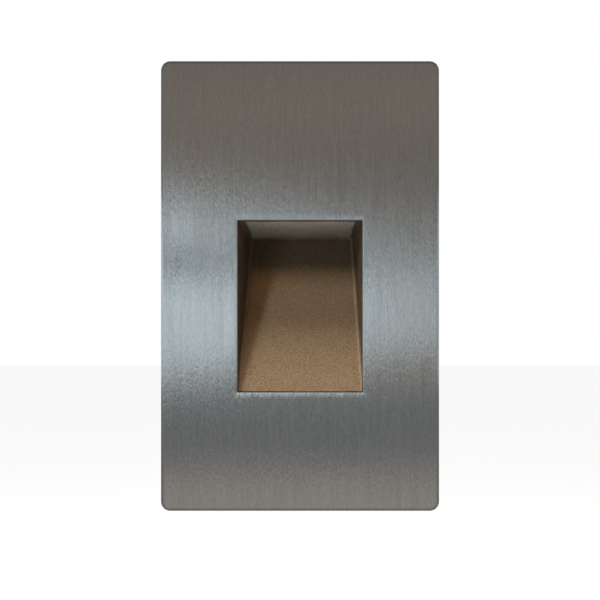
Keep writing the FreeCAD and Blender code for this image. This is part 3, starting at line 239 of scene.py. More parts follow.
# %% Helpers for a white background
def looking(tree):
    """1 for the rays of the eye, a mirror or glass, 0 for those that carry light."""
    path = tree.nodes.new("ShaderNodeLightPath")
    total = path.outputs["Is Camera Ray"]
    for ray in ("Is Glossy Ray", "Is Transmission Ray"):
        either = tree.nodes.new("ShaderNodeMath")
        either.operation = "MAXIMUM"
        tree.links.new(total, either.inputs[0])
        tree.links.new(path.outputs[ray], either.inputs[1])
        total = either.outputs[0]
    return total


def mix_shaders(tree, factor, first, second, out):
    """Mixes two shaders by a factor and sends the result out."""
    mix = tree.nodes.new("ShaderNodeMixShader")
    tree.links.new(factor, mix.inputs["Fac"])
    tree.links.new(first, mix.inputs[1])
    tree.links.new(second, mix.inputs[2])
    tree.links.new(mix.outputs[0], out.inputs["Surface"])


# %% The floor
FLOOR_Z = -0.28
FLOOR_SIZE = 12
WHITE_SHARE = 0.93
bpy.ops.mesh.primitive_plane_add(size=FLOOR_SIZE, location=(0, 0, FLOOR_Z))
floor = bpy.context.object
floor.name = "floor"
floor_paint = bpy.data.materials.new("floor_paint")
floor_paint.use_nodes = True
floor_tree = floor_paint.node_tree
floor_shader = floor_tree.nodes["Principled BSDF"]
floor_shader.inputs["Base Color"].default_value = (0.85, 0.85, 0.85, 1)
floor_shader.inputs["Roughness"].default_value = 0.9
part_white = floor_tree.nodes.new("ShaderNodeMath")
part_white.operation = "MULTIPLY"
part_white.inputs[1].default_value = WHITE_SHARE
floor_tree.links.new(looking(floor_tree), part_white.inputs[0])
floor_glow = floor_tree.nodes.new("ShaderNodeEmission")
floor_glow.inputs["Strength"].default_value = 1.0
mix_shaders(floor_tree, part_white.outputs[0], floor_shader.outputs[0], floor_glow.outputs[0],
            floor_tree.nodes["Material Output"])
floor.data.materials.append(floor_paint)
print("floor at", FLOOR_Z, "m, white share", WHITE_SHARE)

# %% The white background
SKY_LIGHT = 0.02
world = bpy.data.worlds.new("studio")
bpy.context.scene.world = world
world.use_nodes = True
sky_tree = world.node_tree
sky_tree.nodes.clear()
soft = sky_tree.nodes.new("ShaderNodeBackground")
soft.inputs["Color"].default_value = (0.9, 0.95, 1.0, 1)
soft.inputs["Strength"].default_value = SKY_LIGHT
pure = sky_tree.nodes.new("ShaderNodeBackground")
pure.inputs["Strength"].default_value = 1.0
pure.inputs["Color"].default_value = (1, 1, 1, 1)
mix_shaders(sky_tree, looking(sky_tree), soft.outputs[0], pure.outputs[0],
            sky_tree.nodes.new("ShaderNodeOutputWorld"))
print("background white to the eye, light from it", SKY_LIGHT)

# %% [markdown]
# ## How the finishes are made
# Every finish is one Principled shader with a few layers on top: a noise that shifts its colour, a
# noise that shifts its gloss and a noise that raises or sinks its surface. All of them read Object
# coordinates, in metres, so a pattern keeps its real size on every piece.

# %% A finish and its noise
def finish(name, colour, roughness, metallic=0.0):
    """A new material with one Principled shader, and that shader."""
    material = bpy.data.materials.new(name)
    material.use_nodes = True
    shader = material.node_tree.nodes["Principled BSDF"]
    shader.inputs["Base Color"].default_value = (*colour, 1)
    shader.inputs["Roughness"].default_value = roughness
    shader.inputs["Metallic"].default_value = metallic
    return material, shader


def noise(material, per_metre, detail=3.0, rough=0.5):
    """A noise on Object coordinates. per_metre is (x, y, z) or one number; small means long."""
    tree = material.node_tree
    place = tree.nodes.new("ShaderNodeTexCoord")
    stretch = tree.nodes.new("ShaderNodeMapping")
    stretch.inputs["Scale"].default_value = per_metre if isinstance(per_metre, tuple) else (per_metre,) * 3
    tree.links.new(place.outputs["Object"], stretch.inputs["Vector"])
    made = tree.nodes.new("ShaderNodeTexNoise")
    made.inputs["Scale"].default_value = 1.0
    made.inputs["Detail"].default_value = detail
    made.inputs["Roughness"].default_value = rough
    tree.links.new(stretch.outputs["Vector"], made.inputs["Vector"])
    return made.outputs["Fac"]


# %% Numbers and colours from a noise
def between(material, factor, low, high, start=0.3, stop=0.7):
    """Turns a 0-1 factor into a number between low and high."""
    tree = material.node_tree
    ramp = tree.nodes.new("ShaderNodeMapRange")
    ramp.inputs["From Min"].default_value = start
    ramp.inputs["From Max"].default_value = stop
    ramp.inputs["To Min"].default_value = low
    ramp.inputs["To Max"].default_value = high
    tree.links.new(factor, ramp.inputs["Value"])
    return ramp.outputs["Result"]


def shade_between(material, factor, dark, light, start=0.3, stop=0.7):
    """Turns a 0-1 factor into a colour between two."""
    tree = material.node_tree
    amount = between(material, factor, 0, 1, start, stop)
    mix = tree.nodes.new("ShaderNodeMix")
    mix.data_type = "RGBA"
    mix.inputs[6].default_value = (*dark, 1)
    mix.inputs[7].default_value = (*light, 1)
    tree.links.new(amount, mix.inputs[0])
    return mix.outputs[2]


def math_node(material, operation, first, second=None):
    """One Math node. An input is a number or a socket."""
    made = material.node_tree.nodes.new("ShaderNodeMath")
    made.operation = operation
    for socket, value in zip(made.inputs, (first, second)):
        if isinstance(value, (int, float)):
            socket.default_value = value
        elif value is not None:
            material.node_tree.links.new(value, socket)
    return made.outputs[0]


def tinted(material, colour, factor, tint):
    """Multiplies a colour by a tint where the factor is 1."""
    mix = material.node_tree.nodes.new("ShaderNodeMix")
    mix.data_type = "RGBA"
    mix.blend_type = "MULTIPLY"
    mix.inputs[7].default_value = (tint, tint, tint, 1)
    material.node_tree.links.new(factor, mix.inputs[0])
    material.node_tree.links.new(colour, mix.inputs[6])
    return mix.outputs[2]


# %% Layers on the shader
def raise_by(material, shader, height, depth, strength=1.0):
    """Adds a bump of that depth in metres, on top of any bump that is there."""
    tree = material.node_tree
    bump = tree.nodes.new("ShaderNodeBump")
    bump.inputs["Strength"].default_value = strength
    bump.inputs["Distance"].default_value = depth
    tree.links.new(height, bump.inputs["Height"])
    before = shader.inputs["Normal"].links
    if before:
        tree.links.new(before[0].from_socket, bump.inputs["Normal"])
    tree.links.new(bump.outputs["Normal"], shader.inputs["Normal"])


def wear(material, shader, socket, value):
    """Links a worked-out colour or number to a socket of the shader."""
    material.node_tree.links.new(value, shader.inputs[socket])


def apply_finish(material, *nodes):
    """Puts a finish on CAD nodes by name."""
    for name in nodes:
        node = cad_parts[name]
        for holder in node.material_slots:
            holder.material = material
        print("  ", name, "<-", node.material_slots[0].material.name)


def lighter(colour, by):
    """A colour times a number, kept at or below 1."""
    return tuple(min(1.0, part * by) for part in colour)


# %% [markdown]
# ## Brushed cover plate
# The plate is stainless steel, rubbed with a belt from top to bottom. Each scratch scatters light
# to its sides and hardly up or down, so lamps smear into level bands while the scratches stand
# upright. The shader's anisotropy does just that when its tangent lies level. Over it go fine
# upright streaks, in colour, gloss and height, and wider faint ones as a belt leaves them.

# %% Brushed cover plate
STEEL = (0.60, 0.595, 0.59)
brushed, brushed_shader = finish("brushed_plate", STEEL, 0.18, metallic=1.0)
brushed_shader.inputs["Anisotropic"].default_value = 1.0
level = brushed.node_tree.nodes.new("ShaderNodeTangent")
level.direction_type = "RADIAL"
level.axis = "Z"
brushed.node_tree.links.new(level.outputs["Tangent"], brushed_shader.inputs["Tangent"])
fine_streaks = noise(brushed, (3500, 400, 900), detail=2, rough=0.6)
long_streaks = noise(brushed, (2400, 300, 90), detail=3)
wide_streaks = noise(brushed, (500, 100, 30), detail=3)
streaks = math_node(brushed, "ADD", math_node(brushed, "MULTIPLY", fine_streaks, 0.65),
                    math_node(brushed, "MULTIPLY", long_streaks, 0.35))
steel_colour = shade_between(brushed, streaks, lighter(STEEL, 0.87), lighter(STEEL, 1.08))
wear(brushed, brushed_shader, "Roughness", between(brushed, wide_streaks, 0.15, 0.22))
raise_by(brushed, brushed_shader, fine_streaks, 0.020 * MM)
raise_by(brushed, brushed_shader, wide_streaks, 0.014 * MM)

# %% [markdown]
# The photograph shows a light rim round the window. A punch draws the steel in with it, so that the
# face leans towards the opening for a millimetre or two, and a mirror shows such a lean as a light
# rim. That is the reading taken here, and a sharpened picture could show one too. The drop is three
# hundredths of a millimetre, too little to model, so it is a bump: the distance to the window's
# outline, worked out from Object coordinates, gives a height that falls towards the edge. Where that
# distance is nothing, on the cut walls of the window, the steel's colour is darkened, as in the
# photograph: this is painted shade.

# %% The drawn-in rim of the window
WINDOW_LOW = (-16.7 * MM, -28.25 * MM)
WINDOW_HIGH = (16.7 * MM, 17.45 * MM)
RIM_WIDTH = 1.9 * MM
RIM_DROP = 0.031 * MM
RIM_UNEVEN = 0.45 * MM
CUT_DEPTH, CUT_WALL_SHADE = 0.1 * MM, 0.22


def outside_of(material, coordinate, low, high):
    """How far a coordinate is outside a span, or 0 inside it."""
    middle, half = (low + high) / 2, (high - low) / 2
    from_middle = math_node(material, "ABSOLUTE", math_node(material, "SUBTRACT", coordinate, middle))
    return math_node(material, "MAXIMUM", math_node(material, "SUBTRACT", from_middle, half), 0.0)


place = brushed.node_tree.nodes.new("ShaderNodeTexCoord")
parts = brushed.node_tree.nodes.new("ShaderNodeSeparateXYZ")
brushed.node_tree.links.new(place.outputs["Object"], parts.inputs[0])
beside = outside_of(brushed, parts.outputs["X"], WINDOW_LOW[0], WINDOW_HIGH[0])
above = outside_of(brushed, parts.outputs["Z"], WINDOW_LOW[1], WINDOW_HIGH[1])
away = math_node(brushed, "SQRT", math_node(brushed, "ADD", math_node(brushed, "MULTIPLY", beside, beside),
                                            math_node(brushed, "MULTIPLY", above, above)))
uneven = between(brushed, noise(brushed, (1700, 100, 90), detail=3), -RIM_UNEVEN, RIM_UNEVEN)
nearness = between(brushed, math_node(brushed, "ADD", away, uneven), 1.0, 0.0, start=0.0, stop=RIM_WIDTH)
sink = math_node(brushed, "MULTIPLY", math_node(brushed, "MULTIPLY", nearness, nearness), -1.0)
raise_by(brushed, brushed_shader, sink, RIM_DROP)
# Painted shade: the cut walls of the window are darkened to a fraction of the steel's colour.
cut_wall_shade_mask = math_node(brushed, "LESS_THAN", away, CUT_DEPTH)
wear(brushed, brushed_shader, "Base Color", tinted(brushed, steel_colour, cut_wall_shade_mask, CUT_WALL_SHADE))
print("rim leans", round(math.degrees(math.atan(2 * RIM_DROP / RIM_WIDTH)), 1), "degrees at the edge")
apply_finish(brushed, "face_plate")

# %% [markdown]
# ## Textured bronze coat
# The housing is a die casting with a powder coat whose grains stay visible: a fine, even pebble
# about a third of a millimetre across. One noise of that size does both jobs: it raises the grains
# and lightens their tops. A second one, many times larger, shifts the gloss, as no spray is even.

# %% Textured bronze coat
BRONZE = (0.083, 0.057, 0.035)
coat, coat_shader = finish("bronze_casting", BRONZE, 0.6, metallic=0.08)
coat_shader.inputs["Specular IOR Level"].default_value = 0.18
grain = noise(coat, 2700, detail=3, rough=0.65)
broad = noise(coat, 90, detail=2)
pebbles = shade_between(coat, grain, lighter(BRONZE, 0.73), lighter(BRONZE, 1.60), start=0.38, stop=0.72)
wear(coat, coat_shader, "Roughness", between(coat, broad, 0.54, 0.66))
raise_by(coat, coat_shader, grain, 0.10 * MM, 0.8)

# %% [markdown]
# In the photograph a thin light line runs along the foot of the right wall, where it meets the ramp
# in a rounding. It is read here as coat that is lighter on the rounding, on both sides alike; the
# picture can't tell that from light that catches it. It is painted here as a highlight: the coat's
# colour is made lighter on the roundings, on both sides alike. The way a surface faces picks the
# roundings out: the normal's X, in the object's own frame, is nearly 0 on the ramp and nearly 1 or
# -1 on the walls. All the other shade in the scoop is left to the lamps, because a shadow that is
# painted on would be wrong in any other light.

# %% Painted highlight on the roundings beside the ramp
SCOOP_HALF = 17.5 * MM
ROUNDING_HIGHLIGHT = 1.45
coat_place = coat.node_tree.nodes.new("ShaderNodeTexCoord")
coat_parts = coat.node_tree.nodes.new("ShaderNodeSeparateXYZ")
coat.node_tree.links.new(coat_place.outputs["Object"], coat_parts.inputs[0])
inside = math_node(coat, "LESS_THAN", math_node(coat, "ABSOLUTE", coat_parts.outputs["X"]), SCOOP_HALF)
facing_parts = coat.node_tree.nodes.new("ShaderNodeSeparateXYZ")
coat.node_tree.links.new(coat_place.outputs["Normal"], facing_parts.inputs[0])
sideways = math_node(coat, "ABSOLUTE", facing_parts.outputs["X"])
rounding_highlight_mask = math_node(coat, "MULTIPLY", between(coat, sideways, 0, 1, 0.12, 0.35),
                        between(coat, sideways, 1, 0, 0.60, 0.85))
# Painted highlight: the coat's colour is made lighter on the roundings beside the ramp.
wear(coat, coat_shader, "Base Color",
     tinted(coat, pebbles, math_node(coat, "MULTIPLY", rounding_highlight_mask, inside), ROUNDING_HIGHLIGHT))
apply_finish(coat, "housing", "rear_cover")

# %% [markdown]
# ## Frosted lens
# The lens is a thick pane whose skin is etched, so it passes the lamp's light but shows no lamp. Its
# tone is set to that of the band under the window's top edge, as nothing more of it shows.

# %% Frosted lens
frosted, frosted_shader = finish("frosted_lens", (0.42, 0.395, 0.36), 0.35)
frosted_shader.inputs["Transmission Weight"].default_value = 0.50
frosted_shader.inputs["IOR"].default_value = 1.49
etched = noise(frosted, 9000, detail=2)
wear(frosted, frosted_shader, "Roughness", between(frosted, etched, 0.22, 0.30))
raise_by(frosted, frosted_shader, etched, 0.01 * MM, 0.4)
apply_finish(frosted, "lens")

# %% [markdown]
# ## Metals inside
# The screws and studs are zinc plated, the lamp's carrier is bare aluminium as it left the press.

# %% Metals inside
ZINC = (0.62, 0.62, 0.60)
zinc, zinc_shader = finish("steel", ZINC, 0.32, metallic=1.0)
bloom = noise(zinc, 700, detail=4)
wear(zinc, zinc_shader, "Base Color", shade_between(zinc, bloom, lighter(ZINC, 0.8), lighter(ZINC, 1.1)))
wear(zinc, zinc_shader, "Roughness", between(zinc, bloom, 0.25, 0.42))
apply_finish(zinc, "cover_studs", "box_screws", "carrier_screws", "led_board_screws",
             "driver_screws", "rear_cover_screws")

ALUMINIUM = (0.72, 0.72, 0.73)
aluminium, aluminium_shader = finish("bare_aluminium", ALUMINIUM, 0.35, metallic=1.0)
rolled = noise(aluminium, (3000, 60, 3000), detail=3)
wear(aluminium, aluminium_shader, "Base Color",
     shade_between(aluminium, rolled, lighter(ALUMINIUM, 0.85), lighter(ALUMINIUM, 1.08)))
raise_by(aluminium, aluminium_shader, rolled, 0.006 * MM, 0.6)
apply_finish(aluminium, "led_carrier")

GREEN_PLATE = (0.05, 0.30, 0.10)
green_zinc, green_zinc_shader = finish("green_screw", GREEN_PLATE, 0.3, metallic=0.8)
green_bloom = noise(green_zinc, 800, detail=3)
wear(green_zinc, green_zinc_shader, "Base Color",
     shade_between(green_zinc, green_bloom, lighter(GREEN_PLATE, 0.7), lighter(GREEN_PLATE, 1.3)))
apply_finish(green_zinc, "ground_screw")

# %% [markdown]
# ## Rubbers, plastics and boards
# These share one recipe: a matt or glossy plastic with a grain of its own size and depth. A loop
# over a short list keeps them together, with one line for each material.

# %% Rubbers, plastics and boards
PLAIN_FINISHES = [
    # slot, colour, roughness, grains per metre, depth of the grain in mm, nodes
    ("black_rubber", (0.022, 0.022, 0.023), 0.62, 1600, 0.02, ("stud_grommets", "rear_gasket", "gland_seal")),
    ("black_foam", (0.035, 0.035, 0.037), 0.95, 2600, 0.12, ("wall_gasket",)),
    ("red_fibre", (0.34, 0.055, 0.035), 0.8, 2200, 0.03, ("screw_retainers",)),
    ("clear_silicone", (0.62, 0.62, 0.60), 0.35, 900, 0.01, ("lens_seal",)),
    ("white_plastic", (0.84, 0.84, 0.81), 0.4, 1300, 0.01, ("reflector", "lamp_plug", "output_plug")),
    ("grey_pad", (0.33, 0.35, 0.38), 0.7, 1800, 0.03, ("thermal_pad",)),
    ("white_board", (0.84, 0.84, 0.82), 0.3, 2600, 0.008, ("led_board",)),
    ("lamp_package", (0.82, 0.82, 0.78), 0.3, 3200, 0.01, ("leds",)),
    ("red_wire", (0.48, 0.02, 0.015), 0.32, 900, 0.01, ("lead_red",)),
    ("black_wire", (0.018, 0.018, 0.019), 0.32, 900, 0.01, ("lead_black",)),
    ("green_board", (0.03, 0.17, 0.07), 0.3, 2400, 0.01, ("driver_board",)),
    ("ferrite", (0.07, 0.07, 0.075), 0.6, 1900, 0.03, ("transformer", "line_choke")),
    ("yellow_case", (0.74, 0.50, 0.06), 0.35, 1500, 0.01, ("film_capacitor",)),
    ("black_sleeve", (0.025, 0.025, 0.032), 0.28, 1200, 0.01, ("bulk_capacitor",)),
    ("brown_case", (0.24, 0.12, 0.05), 0.45, 1500, 0.01, ("input_fuse",)),
    ("blue_case", (0.04, 0.10, 0.38), 0.3, 1300, 0.02, ("surge_absorber",)),
    ("black_case", (0.025, 0.025, 0.025), 0.5, 2600, 0.01, ("bridge_rectifier", "driver_chip")),
    ("black_nylon", (0.03, 0.03, 0.031), 0.45, 1500, 0.015, ("gland_body", "gland_nut", "gland_cap")),
]
for slot_name, colour, roughness, grains, depth, wearers in PLAIN_FINISHES:
    plain, plain_shader = finish(slot_name, colour, roughness)
    speck = noise(plain, grains, detail=3, rough=0.6)
    haze = noise(plain, grains / 20, detail=2)
    wear(plain, plain_shader, "Base Color",
         shade_between(plain, speck, lighter(colour, 0.85), lighter(colour, 1.15)))
    wear(plain, plain_shader, "Roughness", between(plain, haze, roughness * 0.85, roughness * 1.15))
    raise_by(plain, plain_shader, speck, depth * MM, 0.6)
    apply_finish(plain, *wearers)

# %% [markdown]
# ## Small pieces made as meshes
# The CAD solids carry everything that has to fit. What is left are marks and thin things that a
# workshop leaves: weld beads round the studs, the round marks of ejector pins, the winding on the
# choke, tape on the transformer, the top of a capacitor and the yellow gel in the lamps. They are
# small, and none changes how the parts fit. Each is shaped with edit mode's own operators, and what
# repeats is modelled once and copied.

# %% Helpers that pick
FACING = 0.9


def only(piece):
    """Selects one piece alone and makes it the active one."""
    bpy.ops.object.select_all(action="DESELECT")
    piece.select_set(True)
    bpy.context.view_layer.objects.active = piece


def pick_faces(piece, test):
    """Enters edit mode with just those faces selected whose middle and normal pass a test."""
    only(piece)
    bpy.ops.object.mode_set(mode="EDIT")
    bpy.ops.mesh.select_mode(type="FACE")
    bpy.ops.mesh.select_all(action="DESELECT")
    bpy.ops.object.mode_set(mode="OBJECT")
    for face in piece.data.polygons:
        face.select = test(face.center, face.normal)
    bpy.ops.object.mode_set(mode="EDIT")


def pick_edges(piece, test):
    """Enters edit mode with just those edges selected whose two ends pass a test."""
    only(piece)
    bpy.ops.object.mode_set(mode="EDIT")
    bpy.ops.mesh.select_mode(type="EDGE")
    bpy.ops.mesh.select_all(action="DESELECT")
    bpy.ops.object.mode_set(mode="OBJECT")
    for edge in piece.data.edges:
        a, b = (piece.data.vertices[index].co for index in edge.vertices)
        edge.select = test(a, b)
    bpy.ops.object.mode_set(mode="EDIT")


# %% Helpers that name, place, copy and finish a piece
SHARP = math.radians(35)


def named(name):
    """Names the object that an operator has just added."""
    piece = bpy.context.object
    piece.name = name
    piece.data.name = name
    return piece


def settle(piece):
    """Moves a piece's place, turn and size into its mesh, as the CAD nodes have it."""
    only(piece)
    bpy.ops.object.transform_apply(location=True, rotation=True, scale=True)


def spread(piece, steps):
    """Copies a piece by each step, every copy with its own mesh, and joins them all."""
    copies = [piece]
    for step in steps:
        only(piece)
        bpy.ops.object.duplicate(linked=False)
        bpy.context.object.location = Vector(step)
        copies.append(bpy.context.object)
    only(piece)
    for copy in copies:
        copy.select_set(True)
    bpy.ops.object.join()
    settle(piece)


def soften(piece, width, segments=2):
    """Bevels every sharp edge by that width and shades the rest smooth."""
    only(piece)
    bevel = piece.modifiers.new("soften", "BEVEL")
    bevel.width = width
    bevel.segments = segments
    bevel.limit_method = "ANGLE"
    bevel.angle_limit = SHARP
    bpy.ops.object.modifier_apply(modifier=bevel.name)
    bpy.ops.object.shade_smooth_by_angle(angle=SHARP)


def dress(piece, material, body):
    """Gives a finished piece its material, its body and the slot that it takes its finish from."""
    piece.data.materials.clear()
    piece.data.materials.append(material)
    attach(piece, body)
    print(piece.name, len(piece.data.polygons), "faces, rides on", body)


# %% [markdown]
# ### Weld beads
# The studs are shot on to the back of the plate, and a low bead of melted steel stands round each.
# A short cone does it: wide on the plate, narrow on the stud, with its points shaken a little, as no
# bead is even. It is lower than the gap between plate and flange, so the plate still closes.

# %% Weld beads
STUD_X, STUD_Z = 29.0 * MM, 52.025 * MM
BEAD_HEIGHT = 0.24 * MM
BEAD_FOOT, BEAD_TOP = 2.3 * MM, 1.65 * MM
PLATE_BACK = PLATE_HIGH.y
bpy.ops.mesh.primitive_cone_add(vertices=36, radius1=BEAD_FOOT, radius2=BEAD_TOP, depth=BEAD_HEIGHT,
                                location=(-STUD_X, PLATE_BACK + BEAD_HEIGHT / 2, -STUD_Z),
                                rotation=(math.radians(-90), 0, 0))
beads = named("weld_beads")
settle(beads)
pick_faces(beads, lambda middle, normal: abs(normal.y) < FACING)
bpy.ops.mesh.subdivide(number_cuts=1)
bpy.ops.transform.vertex_random(offset=0.05 * MM, uniform=0.0, normal=1.0, seed=4)
bpy.ops.object.mode_set(mode="OBJECT")
spread(beads, [(2 * STUD_X, 0, 0), (0, 0, 2 * STUD_Z), (2 * STUD_X, 0, 2 * STUD_Z)])
soften(beads, 0.04 * MM, 1)
bead_steel, bead_shader = finish("weld_steel", (0.38, 0.36, 0.34), 0.42, metallic=1.0)
heat = noise(bead_steel, 900, detail=3)
wear(bead_steel, bead_shader, "Base Color",
     shade_between(bead_steel, heat, (0.22, 0.16, 0.13), (0.46, 0.45, 0.44)))
raise_by(bead_steel, bead_shader, heat, 0.03 * MM, 0.6)
dress(beads, bead_steel, "cover")

# %% [markdown]
# ### Ejector marks
# Pins push a die casting out of its mould and leave round marks. Here they are on the flange's
# front, where the plate hides them. Each is a low disc whose face is inset and sunk, which leaves a
# thin rim.

# %% Ejector marks
MARK_RADIUS = 2.1 * MM
FIRST_MARK_X, FIRST_MARK_Z = -25.5 * MM, -44 * MM
STEPS_ACROSS = (0, 51)  # mm
STEPS_UP = (0, 32, 64, 84)  # mm
FLANGE_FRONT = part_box("housing")[0].y
bpy.ops.mesh.primitive_cylinder_add(vertices=40, radius=MARK_RADIUS, depth=0.3 * MM,
                                    location=(FIRST_MARK_X, FLANGE_FRONT + 0.09 * MM, FIRST_MARK_Z),
                                    rotation=(math.radians(90), 0, 0))
marks = named("ejector_marks")
settle(marks)
pick_faces(marks, lambda middle, normal: normal.y < -FACING)
bpy.ops.mesh.inset(thickness=0.3 * MM, depth=-0.045 * MM)
bpy.ops.object.mode_set(mode="OBJECT")
spread(marks, [(across * MM, 0, up * MM) for across in STEPS_ACROSS for up in STEPS_UP if across or up])
soften(marks, 0.03 * MM)
dress(marks, coat, "root")

# %% [markdown]
# ### Winding on the choke
# The choke is a ferrite drum with one layer of enamelled wire. A stack of rings would look alike
# from afar, but a real coil climbs as it goes round. So the wire's round section is set beside the
# drum's axis in edit mode, and a Screw modifier sweeps it round and along. The sweep leaves both
# ends open and may turn the tube inside out, so the ends are filled and the normals recalculated.

# %% Winding on the choke
CHOKE_LOW, CHOKE_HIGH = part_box("line_choke")
CHOKE_MIDDLE = (CHOKE_LOW + CHOKE_HIGH) / 2
WIRE = 0.19 * MM
WIRE_SIDES = 8
TURNS = 15
TURN_STEPS = 40
PITCH = 2.05 * WIRE
FIRST_TURN = 1.1 * MM
coil_radius = (CHOKE_HIGH.x - CHOKE_LOW.x) / 2 - 0.05 * MM
bpy.ops.mesh.primitive_circle_add(vertices=WIRE_SIDES, radius=WIRE,
                                  location=(CHOKE_MIDDLE.x, CHOKE_LOW.y + FIRST_TURN, CHOKE_MIDDLE.z))
winding = named("choke_winding")
bpy.ops.object.mode_set(mode="EDIT")
bpy.ops.mesh.select_all(action="SELECT")
bpy.ops.transform.translate(value=(coil_radius, 0, 0))
bpy.ops.object.mode_set(mode="OBJECT")
climb = winding.modifiers.new("climb", "SCREW")
climb.axis = "Y"
climb.screw_offset = PITCH
climb.iterations = TURNS
climb.steps = climb.render_steps = TURN_STEPS
bpy.ops.object.modifier_apply(modifier=climb.name)
bpy.ops.object.mode_set(mode="EDIT")
bpy.ops.mesh.select_all(action="SELECT")
bpy.ops.mesh.fill_holes(sides=WIRE_SIDES)
bpy.ops.mesh.normals_make_consistent(inside=False)
bpy.ops.object.mode_set(mode="OBJECT")
settle(winding)
bpy.ops.object.shade_smooth_by_angle(angle=math.radians(50))
copper, copper_shader = finish("enamelled_copper", (0.72, 0.27, 0.10), 0.28, metallic=0.85)
copper_shader.inputs["Coat Weight"].default_value = 0.5
tarnish = noise(copper, 700, detail=3)
wear(copper, copper_shader, "Base Color",
     shade_between(copper, tarnish, (0.50, 0.17, 0.06), (0.80, 0.34, 0.14)))
dress(winding, copper, "root")

# %% [markdown]
# ### Tape on the transformer
# A band of yellow tape closes the winding, and its last turn laps over on the top side. The band is
# a block slightly larger than the core, its four long edges rounded; the lap is an inset face that
# is pulled out by the thickness of the tape.

# %% Tape on the transformer
CORE_LOW, CORE_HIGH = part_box("transformer")
TAPE = 0.12 * MM
LONG_EDGE = 6 * MM
band_low = Vector((CORE_LOW.x - TAPE, CORE_LOW.y + 3.0 * MM, CORE_LOW.z - TAPE))
band_high = Vector((CORE_HIGH.x + TAPE, CORE_HIGH.y - 3.5 * MM, CORE_HIGH.z + TAPE))
band_middle = (band_low + band_high) / 2
bpy.ops.mesh.primitive_cube_add(size=1, location=band_middle, scale=band_high - band_low)
band = named("transformer_tape")
settle(band)
pick_faces(band, lambda middle, normal: normal.z > FACING)
bpy.ops.mesh.inset(thickness=1.5 * MM, depth=TAPE)
bpy.ops.object.mode_set(mode="OBJECT")
pick_edges(band, lambda a, b: abs(a.y - b.y) > LONG_EDGE and
           abs(abs(a.z - band_middle.z) - (band_high.z - band_low.z) / 2) < 0.01 * MM)
bpy.ops.mesh.bevel(offset=0.5 * MM, segments=3, affect="EDGES")
bpy.ops.object.mode_set(mode="OBJECT")
soften(band, 0.03 * MM, 1)
tape, tape_shader = finish("winding_tape", (0.80, 0.58, 0.07), 0.25)
tape_shader.inputs["Coat Weight"].default_value = 0.4
wrinkles = noise(tape, (260, 60, 260), detail=3)
wear(tape, tape_shader, "Base Color", shade_between(tape, wrinkles, (0.70, 0.47, 0.05), (0.86, 0.66, 0.12)))
raise_by(tape, tape_shader, wrinkles, 0.05 * MM, 0.5)
dress(band, tape, "root")

# %% [markdown]
# ### Top of the capacitor
# The sleeve leaves the can's aluminium top free, with its rolled rim and the scored cross that
# tears open if the can is overheated. Rim and sunk face come from one inset; the cross is too fine
# to model and is a bump.

# %% Top of the capacitor
CAN_LOW, CAN_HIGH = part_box("bulk_capacitor")
CAN_X, CAN_Z = (CAN_LOW.x + CAN_HIGH.x) / 2, (CAN_LOW.z + CAN_HIGH.z) / 2
TOP_RADIUS, TOP_THICKNESS = 3.15 * MM, 0.3 * MM
SCORE_HALF = 0.12 * MM
bpy.ops.mesh.primitive_cylinder_add(vertices=48, radius=TOP_RADIUS, depth=TOP_THICKNESS,
                                    location=(CAN_X, CAN_LOW.y + 0.03 * MM, CAN_Z),
                                    rotation=(math.radians(90), 0, 0))
can_top = named("capacitor_top")
settle(can_top)
pick_faces(can_top, lambda middle, normal: normal.y < -FACING)
bpy.ops.mesh.inset(thickness=0.4 * MM, depth=-0.09 * MM)
bpy.ops.object.mode_set(mode="OBJECT")
soften(can_top, 0.05 * MM)
can_metal, can_shader = finish("can_top", (0.70, 0.70, 0.71), 0.3, metallic=1.0)
can_place = can_metal.node_tree.nodes.new("ShaderNodeTexCoord")
can_parts = can_metal.node_tree.nodes.new("ShaderNodeSeparateXYZ")
can_metal.node_tree.links.new(can_place.outputs["Object"], can_parts.inputs[0])
along_x = outside_of(can_metal, can_parts.outputs["X"], CAN_X - SCORE_HALF, CAN_X + SCORE_HALF)
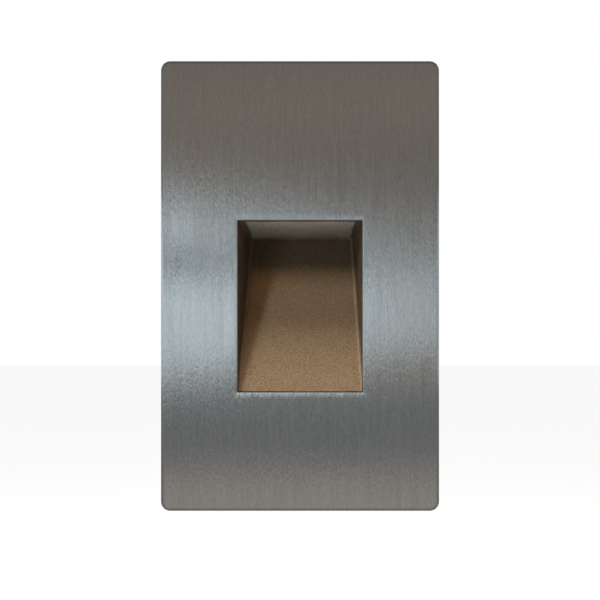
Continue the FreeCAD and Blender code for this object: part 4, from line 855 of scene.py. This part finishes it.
along_z = outside_of(can_metal, can_parts.outputs["Z"], CAN_Z - SCORE_HALF, CAN_Z + SCORE_HALF)
from_score = math_node(can_metal, "MINIMUM", along_x, along_z)
raise_by(can_metal, can_shader, between(can_metal, from_score, 0, 1, start=0.0, stop=0.15 * MM), 0.12 * MM)
spun = noise(can_metal, 1500, detail=3)
wear(can_metal, can_shader, "Roughness", between(can_metal, spun, 0.22, 0.40))
dress(can_top, can_metal, "root")

# %% [markdown]
# ### Gel in the lamps
# A lamp package is a white frame round a square of yellow gel, which turns the chip's blue light
# white. The gel stands up a little in the middle. A block is inset, its face is sunk, and the inner
# face is pulled up again as a low cushion.

# %% Gel in the lamps
LAMP_LOW, LAMP_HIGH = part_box("leds")
LAMP_SIDE = 3.0 * MM
GEL_SIDE = 2.3 * MM
first_lamp = Vector((LAMP_LOW.x + LAMP_SIDE / 2, LAMP_LOW.y + LAMP_SIDE / 2, LAMP_LOW.z + 0.12 * MM))
bpy.ops.mesh.primitive_cube_add(size=1, location=first_lamp, scale=(GEL_SIDE, GEL_SIDE, 0.3 * MM))
gels = named("lamp_gels")
settle(gels)
pick_faces(gels, lambda middle, normal: normal.z < -FACING)
bpy.ops.mesh.inset(thickness=0.35 * MM, depth=0.05 * MM)
bpy.ops.mesh.inset(thickness=0.35 * MM, depth=0.03 * MM)
bpy.ops.object.mode_set(mode="OBJECT")
LAMP_STEP_X = (LAMP_HIGH.x - LAMP_LOW.x - LAMP_SIDE) / 2
LAMP_STEP_Y = LAMP_HIGH.y - LAMP_LOW.y - LAMP_SIDE
spread(gels, [(i * LAMP_STEP_X, j * LAMP_STEP_Y, 0) for i in (0, 1, 2) for j in (0, 1) if i or j])
soften(gels, 0.06 * MM)
gel, gel_shader = finish("phosphor_gel", (0.88, 0.70, 0.10), 0.22)
gel_shader.inputs["Coat Weight"].default_value = 0.6
powder = noise(gel, 6000, detail=2)
wear(gel, gel_shader, "Base Color", shade_between(gel, powder, (0.80, 0.58, 0.06), (0.92, 0.78, 0.18)))
dress(gels, gel, "root")
